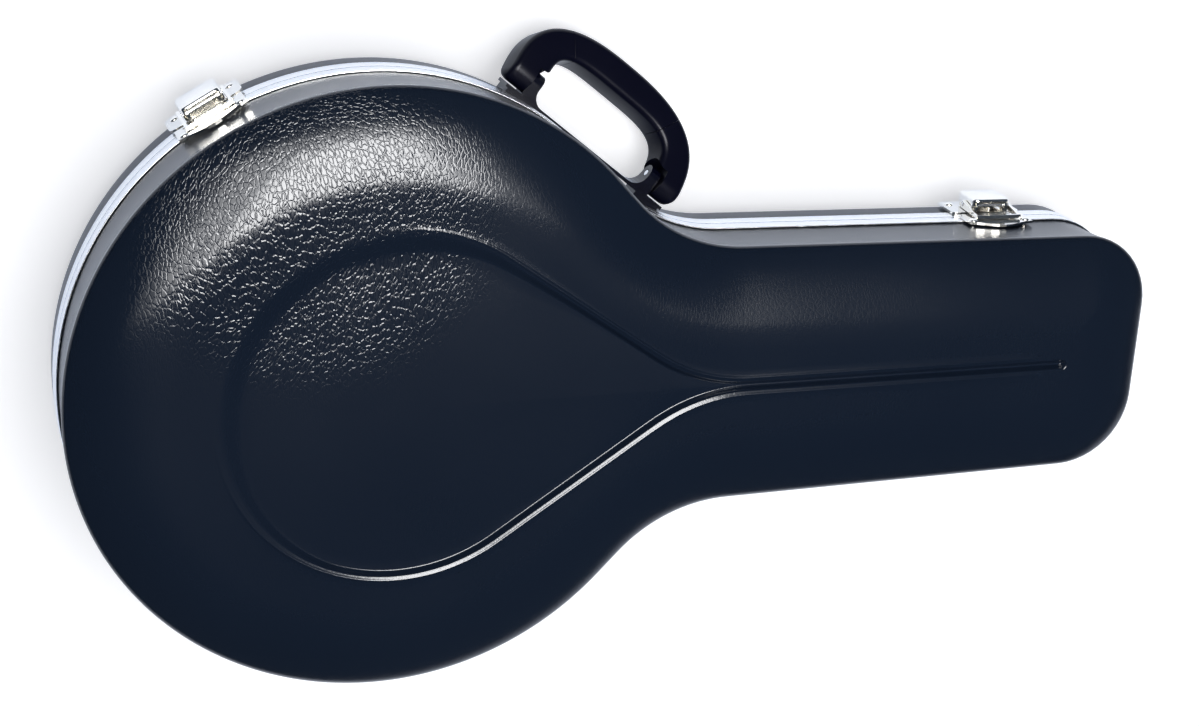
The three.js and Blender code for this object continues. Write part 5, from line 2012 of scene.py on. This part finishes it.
@dataclass
class Padding:
    """The plush bed in the base, in two pads, and the pad in the lid, in millimetres.

    Attributes:
        bed_inset: How far the bed lies inside the outline.
        bed_foot: The height of its flat underside.
        bed_rim: The height of its rim.
        bed_floor: The height of the pocket's floor.
        rim_round: The radius of the bed's outer edge.
        crown: How far the rim rises between its edges.
        pocket_rows: Sections of the pocket's soft wall as distance outside the pocket and height.
        joint: Where the bed's two pads meet along X.
        lid_inset: How far the lid's pad lies inside the lid's outer skin.
        lid_thickness: The lid pad's thickness at its foot.
        lid_foot: The height of its foot.
        lid_drop: How much lower its back lies, to clear the recess.
        lid_rise: How far above its foot the lid pad's rounded edge ends.
        spine_end: How far along X the pads' middle line reaches.
        shoulder_width: The width of the bed's lower shoulder.
        shoulder_top: The height of that shoulder.
        welt: The welts' radius.
        stitch: The pitch, length and radius of the stitches beside the welts.
        waves: How far the foam's unevenness moves the bed and the lid's pad.
        joint_gap: Half the gap where the bed's two pads meet.
        joint_round: The rounding of the pads' cut edges and the fold, in degrees, that it takes.
        shoulder_power: How quickly the bed's lower shoulder flattens.
        crown_share: The most that the rim rises, as a share of its width.
    """

    bed_inset: float = 4.7
    bed_foot: float = 3.0
    bed_rim: float = 46.0
    bed_floor: float = 12.0
    rim_round: float = 3.0
    crown: float = 2.4
    pocket_rows: tuple[Pair, ...] = (
        (7.0, 46.0), (5.0, 45.7), (3.0, 44.6), (1.3, 42.6), (0.2, 39.8), (-0.6, 36.0),
        (-1.2, 31.0), (-1.3, 26.0), (-0.9, 21.0), (-0.4, 17.5), (-0.9, 14.6), (-2.4, 12.8),
        (-5.0, 12.1),
    )
    joint: float = 205.0
    lid_inset: float = 3.0
    lid_thickness: float = 6.0
    lid_foot: float = 72.0
    lid_drop: float = 3.8
    spine_end: float = 451.0
    shoulder_width: float = 34.5
    shoulder_top: float = 23.0
    welt: float = 1.5
    lid_rise: float = 1.6
    stitch: Triple = (5.0, 3.2, 0.38)
    waves: Pair = (0.5, 0.35)
    joint_gap: float = 0.2
    joint_round: Pair = (1.6, 55.0)
    shoulder_power: float = 2.4
    crown_share: float = 0.09

    def build_bed(self) -> Piece:
        """Builds the whole bed with its pocket.

        Returns:
            The bed in one piece.
        """
        spine = CASE.spine(self.spine_end)
        loops = [at_height(spine, self.bed_foot)]
        drop = self.shoulder_top - self.bed_foot
        for share in (1.0, 0.7, 0.45, 0.25, 0.12, 0.04):
            rise = 1 - (1 - share) ** self.shoulder_power
            out = -self.bed_inset - share * self.shoulder_width
            loops.append(at_height(CASE.loop(out), self.shoulder_top - drop * rise))
        wall_top = self.bed_rim - self.rim_round
        for z in np.linspace(self.shoulder_top + 1.5, wall_top, 6):
            loops.append(at_height(CASE.loop(-self.bed_inset), z))
        for turn in np.linspace(0, math.pi / 2, 6)[1:]:
            out = -self.bed_inset - self.rim_round * (1 - math.cos(turn))
            loops.append(at_height(CASE.loop(out), wall_top + self.rim_round * math.sin(turn)))
        rim = loops[-1][:, :2]
        edge = crossings(rim, spine, POCKET.loop(self.pocket_rows[0][0]))
        width = np.linalg.norm(edge - rim, axis=1)
        for share in (0.12, 0.26, 0.42, 0.58, 0.74, 0.88):
            most = np.minimum(self.crown, width * self.crown_share)
            rise = most * math.sin(math.pi * share) ** 0.8
            loops.append(np.column_stack((mixed(rim, edge, share), self.bed_rim + rise)))
        for out, z in self.pocket_rows:
            loops.append(at_height(crossings(rim, spine, POCKET.loop(out)), z))
        last = loops[-1][:, :2]
        for share in (0.25, 0.6, 1.0):
            loops.append(at_height(mixed(last, spine, share), self.bed_floor))
        return Form().skin(loops).to_object("bed.whole", PLUSH)

    def build_lid_pad(self) -> Piece:
        """Builds the pad that follows the lid's hollow.

        Returns:
            The pad.
        """
        shells = Shells()
        spine = CASE.spine(self.spine_end)
        inner_inset = self.lid_inset + self.lid_thickness
        edge = self.lid_foot + self.lid_rise
        back = shells.lid_rows(self.lid_inset, edge, self.lid_drop)
        front = shells.lid_rows(inner_inset, edge)
        half = self.lid_thickness / 2
        foot = [
            (-self.lid_inset - half * (1 - math.cos(turn)), edge - 1.5 * math.sin(turn))
            for turn in np.linspace(0, math.pi, 9)[1:-1]
        ]
        loops = [at_height(spine, back[-1][1])]
        loops += [at_height(CASE.loop(out), z) for out, z in [*reversed(back), *foot, *front]]
        loops.append(at_height(spine, front[-1][1]))
        return Form().skin(loops).to_object("lid_padding.plush", PLUSH)

    def _trim(self, name: str, body: str, path: Array, beside: Array) -> None:
        """Sews a welt along a path and a row of stitches beside it.

        Args:
            name: The trim's name.
            body: The body that it rides on.
            path: The welt's path.
            beside: The stitches' path.
        """
        welt = cord_tree(self.welt).run(path_object(f"{name}_welt", path), WELT)
        settle(welt, body, "plush")
        seam = stitch_tree(*self.stitch).run(path_object(f"{name}_stitches", beside), THREAD)
        settle(seam, body, "plush")

    def dress(self) -> None:
        """Builds the pads, their welts and their stitches."""
        whole = self.build_bed()
        soft_waves(whole, self.waves[0], FOAM_PITCH)
        along = Vector((1, 0, 0))
        for side, node in ((-1, "base_padding"), (1, "neck_padding")):
            place = along * (self.joint + side * self.joint_gap) * MM
            pad = sliced(whole, f"{node}.plush", place, along * side)
            eased(pad, *self.joint_round)
            settle(pad, "case_base", "plush", node)
        bpy.data.objects.remove(whole)
        lid_pad = self.build_lid_pad()
        soft_waves(lid_pad, self.waves[1], FOAM_PITCH)
        settle(lid_pad, "lid", "plush", "lid_padding")
        rim = self.pocket_rows[0][0]
        welt_path = at_height(POCKET.loop(rim + 1.0), self.bed_rim + 0.3)
        beside = at_height(POCKET.loop(rim + 4.0), self.bed_rim + 0.9)
        self._trim("bed", "case_base", welt_path, beside)
        inset = self.lid_inset + self.lid_thickness
        welt_path = at_height(CASE.loop(-inset + 0.8), self.lid_foot + 1.7)
        beside = at_height(CASE.loop(-inset), self.lid_foot + 5.0)
        self._trim("lid_pad", "lid", welt_path, beside)


@dataclass
class NeckRest:
    """The plush block with a saddle for the instrument's neck, in millimetres.

    Attributes:
        round: The radius of its upper corners.
        saddle: Half the saddle's width and its depth.
        edge: The radius of its long edges.
        lip: The lip's points, outward from half the saddle's width and down from the top.
        bowl: How far below level the saddle's round starts, in degrees.
    """

    round: float = 5.0
    saddle: Pair = (20.0, 17.0)
    edge: float = 2.6
    lip: tuple[Pair, ...] = ((4.6, 0.0), (2.4, 0.7), (0.8, 2.6), (-0.3, 5.2))
    bowl: float = 26.0

    def dress(self) -> None:
        """Builds the block."""
        low, high = node_sizes("neck_cradle")
        side, foot, top = high[1], low[2], high[2]
        half, depth = self.saddle
        centre = top - depth + half
        right = circle_arc((side - self.round, top - self.round), self.round, 0, math.pi / 2, 8)
        lip = [(half + out, top - down) for out, down in self.lip]
        start, end = math.radians(-self.bowl), math.radians(self.bowl - 180)
        bowl = circle_arc((0, centre), half, start, end, 28)
        left = [(-y, z) for y, z in reversed(lip)] + [(-y, z) for y, z in reversed(right)]
        feet = [(-side, foot), (side, foot)]
        outline = np.array([*right, *lip, *bowl, *left, *feet])
        form = slab(outline, low[0], high[0], self.edge, 4).placed(ALONG_X)
        made = form.to_object("neck_cradle.plush", PLUSH)
        settle(made, "case_base", "plush", "neck_cradle")


@dataclass
class AccessoryBox:
    """The lined box for small accessories, its lid and its pull tab, in millimetres.

    Attributes:
        wall: The boards' thickness.
        corner: The radius of the box's corners.
        edge: The radius of the boards' edges.
        lid_edge: The radius of the lid's edges.
        hollow_edge: The radius of the hollow's edges.
        cut_round: The rounding of the box's inner edges.
        tab_corner: The radius of the tab's corners.
        tab_edge: The radius of the tab's edges.
        seam_inset: How far inside the tab's outline its stitches run.
        stitch: The pitch, length and radius of the tab's stitches.
    """

    wall: float = 3.0
    corner: float = 2.5
    edge: float = 0.9
    tab_corner: float = 5.0
    lid_edge: float = 1.3
    hollow_edge: float = 0.4
    cut_round: float = 0.6
    tab_edge: float = 0.45
    seam_inset: float = 1.8
    stitch: Triple = (2.6, 1.7, 0.24)

    @staticmethod
    def _block(
        node: str, kind: str, corner: float, edge: float, finish: Finish, steps: int = 3
    ) -> tuple[Piece, Array, Array]:
        """A rounded block in a node's place, with the node's lowest and highest corners.

        Args:
            node: The node's name.
            kind: The second half of the block's name.
            corner: The radius of its corners.
            edge: The radius of its edges.
            finish: Its finish.
            steps: The number of bands in each round.

        Returns:
            The block and the two corners.
        """
        low, high = node_sizes(node)
        made = slab(rectangle(low, high, corner), low[2], high[2], edge, steps)
        return made.to_object(f"{node}.{kind}", finish), low, high

    def dress(self) -> None:
        """Builds the box, the lid, the tab and the tab's stitches."""
        box, low, high = self._block("accessory_box", "board", self.corner, self.edge, BOARD)
        hollow = rectangle(low[:2] + self.wall, high[:2] - self.wall, self.corner / 2)
        tool = slab(hollow, low[2] + self.wall, high[2] + self.wall, self.hollow_edge)
        cut(box, tool.to_object("hollow.tool", BOARD))
        tidy_mesh(box.data)
        eased(box, self.cut_round, CUT_ANGLE, 2)
        settle(box, "case_base", "board", "accessory_box")
        lid, _, _ = self._block("accessory_lid", "board", self.corner, self.lid_edge, BOARD, 4)
        settle(lid, "accessory_lid", "board", "accessory_lid")
        leather = ("leather", self.tab_corner, self.tab_edge, TAB_LEATHER)
        tab, low, high = self._block("accessory_tab", *leather)
        settle(tab, "accessory_lid", "tab", "accessory_tab")
        inset = self.seam_inset
        outline = rectangle(low[:2] + inset, high[:2] - inset, self.tab_corner - inset)
        path = path_object("tab_stitches", at_height(outline, high[2]))
        seam = stitch_tree(*self.stitch).run(path, THREAD)
        settle(seam, "accessory_lid", "tab")


# Camera, floor and light


@dataclass(frozen=True)
class Lamp:
    """A soft white lamp that is seen either in reflections or as even light.

    Attributes:
        name: The lamp's name.
        place: Its place, in metres.
        size: Its width and height.
        strength: Its brightness, where a white wall has one.
        glossy: Whether it shows in reflections and hangs level, instead of lighting matt
            surfaces and facing the case.
    """

    name: str
    place: Triple
    size: Pair
    strength: float
    glossy: bool = True

    def hang(self) -> None:
        """Hangs the lamp over the floor."""
        data = bpy.data.lights.new(self.name, "AREA")
        data.shape = "RECTANGLE"
        data.size, data.size_y = self.size
        data.energy = self.strength * math.pi * self.size[0] * self.size[1]
        lamp = linked(self.name, data)
        place = Vector(self.place)
        target = Vector((place.x, place.y, 0.0)) if self.glossy else Vector(CASE_MIDDLE)
        lamp.location = place
        lamp.rotation_euler = (target - place).to_track_quat("-Z", "Y").to_euler()
        lamp.visible_diffuse = not self.glossy
        lamp.visible_glossy = self.glossy


CASE_MIDDLE = (0.0, 0.0, 0.05)
LAMPS = (
    Lamp("key", (0.25, 0.1, 2.1), (2.2, 2.2), 3.2, False),
    Lamp("window_wide", (-0.08, 0.72, 2.1), (2.3, 1.75), 1.0),
    Lamp("window_middle", (-0.06, 0.66, 2.08), (1.5, 1.6), 4.5),
    Lamp("window_core", (0.22, 0.45, 2.06), (0.85, 1.2), 17.0),
)


@dataclass
class Studio:
    """A white floor, soft lamps and the photograph's camera.

    Attributes:
        camera_place: The camera's place, in millimetres.
        camera_turns: Its turns about X, Y and Z, in radians, applied as Z, X, Y.
        focal_pixels: The focal length in pixels of the photograph.
        picture_width: The photograph's width in pixels.
        floor_size: The floor's side, in metres.
        seen_glow: What is added to the floor where the camera sees it.
        mirrored_glow: What is added to the floor in glossy reflections.
        horizon: The floor's colour far off, in glossy reflections.
        mirror_reach: The distances over which the mirrored floor darkens, in metres.
        surround: The colour of the even light from all round.
        sensor: The camera's sensor width, in millimetres.
        floor_colour: The floor's own colour.
    """

    camera_place: Triple = (-320.5, 521.9, 1400.0)
    camera_turns: Triple = (-0.355, -0.3383, 0.0582)
    focal_pixels: float = 2357.0
    picture_width: float = 1199.0
    sensor: float = 36.0
    floor_size: float = 12.0
    floor_colour: Colour = (0.86, 0.86, 0.87)
    seen_glow: Colour = (0.52, 0.52, 0.53)
    mirrored_glow: Colour = (0.4, 0.46, 0.58)
    horizon: Colour = (0.04, 0.045, 0.06)
    mirror_reach: Pair = (0.45, 1.3)
    surround: Colour = (0.03, 0.045, 0.07)

    def build_camera(self) -> None:
        """Sets the camera where the photograph was taken from."""
        data = bpy.data.cameras.new("camera")
        data.sensor_width = self.sensor
        data.lens = self.focal_pixels / self.picture_width * self.sensor
        camera = linked("camera", data)
        x, y, z = (Matrix.Rotation(turn, 4, axis) for turn, axis in zip(self.camera_turns, "XYZ"))
        camera.matrix_world = Matrix.Translation(Vector(self.camera_place) * MM) @ y @ x @ z
        bpy.context.scene.camera = camera

    def build_floor(self) -> None:
        """Lays the floor, which keeps the shadow and is paler to the camera and in gloss."""
        half = self.floor_size / 2
        corners = [(-half, -half, 0), (half, -half, 0), (half, half, 0), (-half, half, 0)]
        mesh = bpy.data.meshes.new("floor")
        mesh.from_pydata(corners, [], [(0, 1, 2, 3)])
        shader = Shader("floor_white")
        path = shader.node("ShaderNodeLightPath").outputs
        seen = Socket(shader, path["Is Camera Ray"])
        mirrored = Socket(shader, path["Is Glossy Ray"])
        glow = shader.blend(seen, (0.0, 0.0, 0.0), self.seen_glow)
        shader.set(Roughness=0.9, Specular_IOR_Level=0.0)
        near, far = self.mirror_reach
        away = shader.ramp(shader.distance((0.0, 0.0, 0.0)), near, far, 0.0, 1.0)
        around = shader.blend(away, self.mirrored_glow, (0.0, 0.0, 0.0))
        shader.set(Emission_Color=shader.blend(mirrored, glow, around))
        shader.set(Base_Color=shader.blend(mirrored * away, self.floor_colour, self.horizon))
        shader.set(Emission_Strength=1.0)
        mesh.materials.append(shader.material)
        floor = linked("floor", mesh)

    def build_world(self) -> None:
        """Sets an even, dim surround."""
        world = bpy.data.worlds.new("surround")
        world.use_nodes = True
        back = world.node_tree.nodes["Background"]
        back.inputs["Color"].default_value = (*self.surround, 1.0)
        back.inputs["Strength"].default_value = 1.0
        bpy.context.scene.world = world

    def dress(self) -> None:
        """Builds the camera, the floor and the light."""
        self.build_camera()
        self.build_floor()
        self.build_world()
        for lamp in LAMPS:
            lamp.hang()
        bpy.context.scene.view_settings.view_transform = "Standard"


def main() -> None:
    """Builds every sub-assembly around the frame."""
    logging.basicConfig(level=logging.INFO, format="%(name)s: %(message)s")
    Studio().dress()
    Shells().dress()
    Valances().dress()
    latches = [Latch(site) for site in LatchSite]
    hinges = Hinges()
    for latch in latches:
        latch.dress()
    hinges.dress()
    levels = (Latch.base_rivet, Latch.strike_rivet)
    for body, level, hinge_level in zip(("case_base", "lid"), levels, hinges.rivet_levels):
        spots = [spot for latch in latches for spot in latch.rivet_spots(level)]
        heads = rivets(f"rivets_{body}", spots + hinges.rivet_spots(hinge_level), NICKEL)
        settle(heads, body, "hardware")
    Handle().dress()
    Padding().dress()
    NeckRest().dress()
    AccessoryBox().dress()


if __name__ == "__main__":
    main()
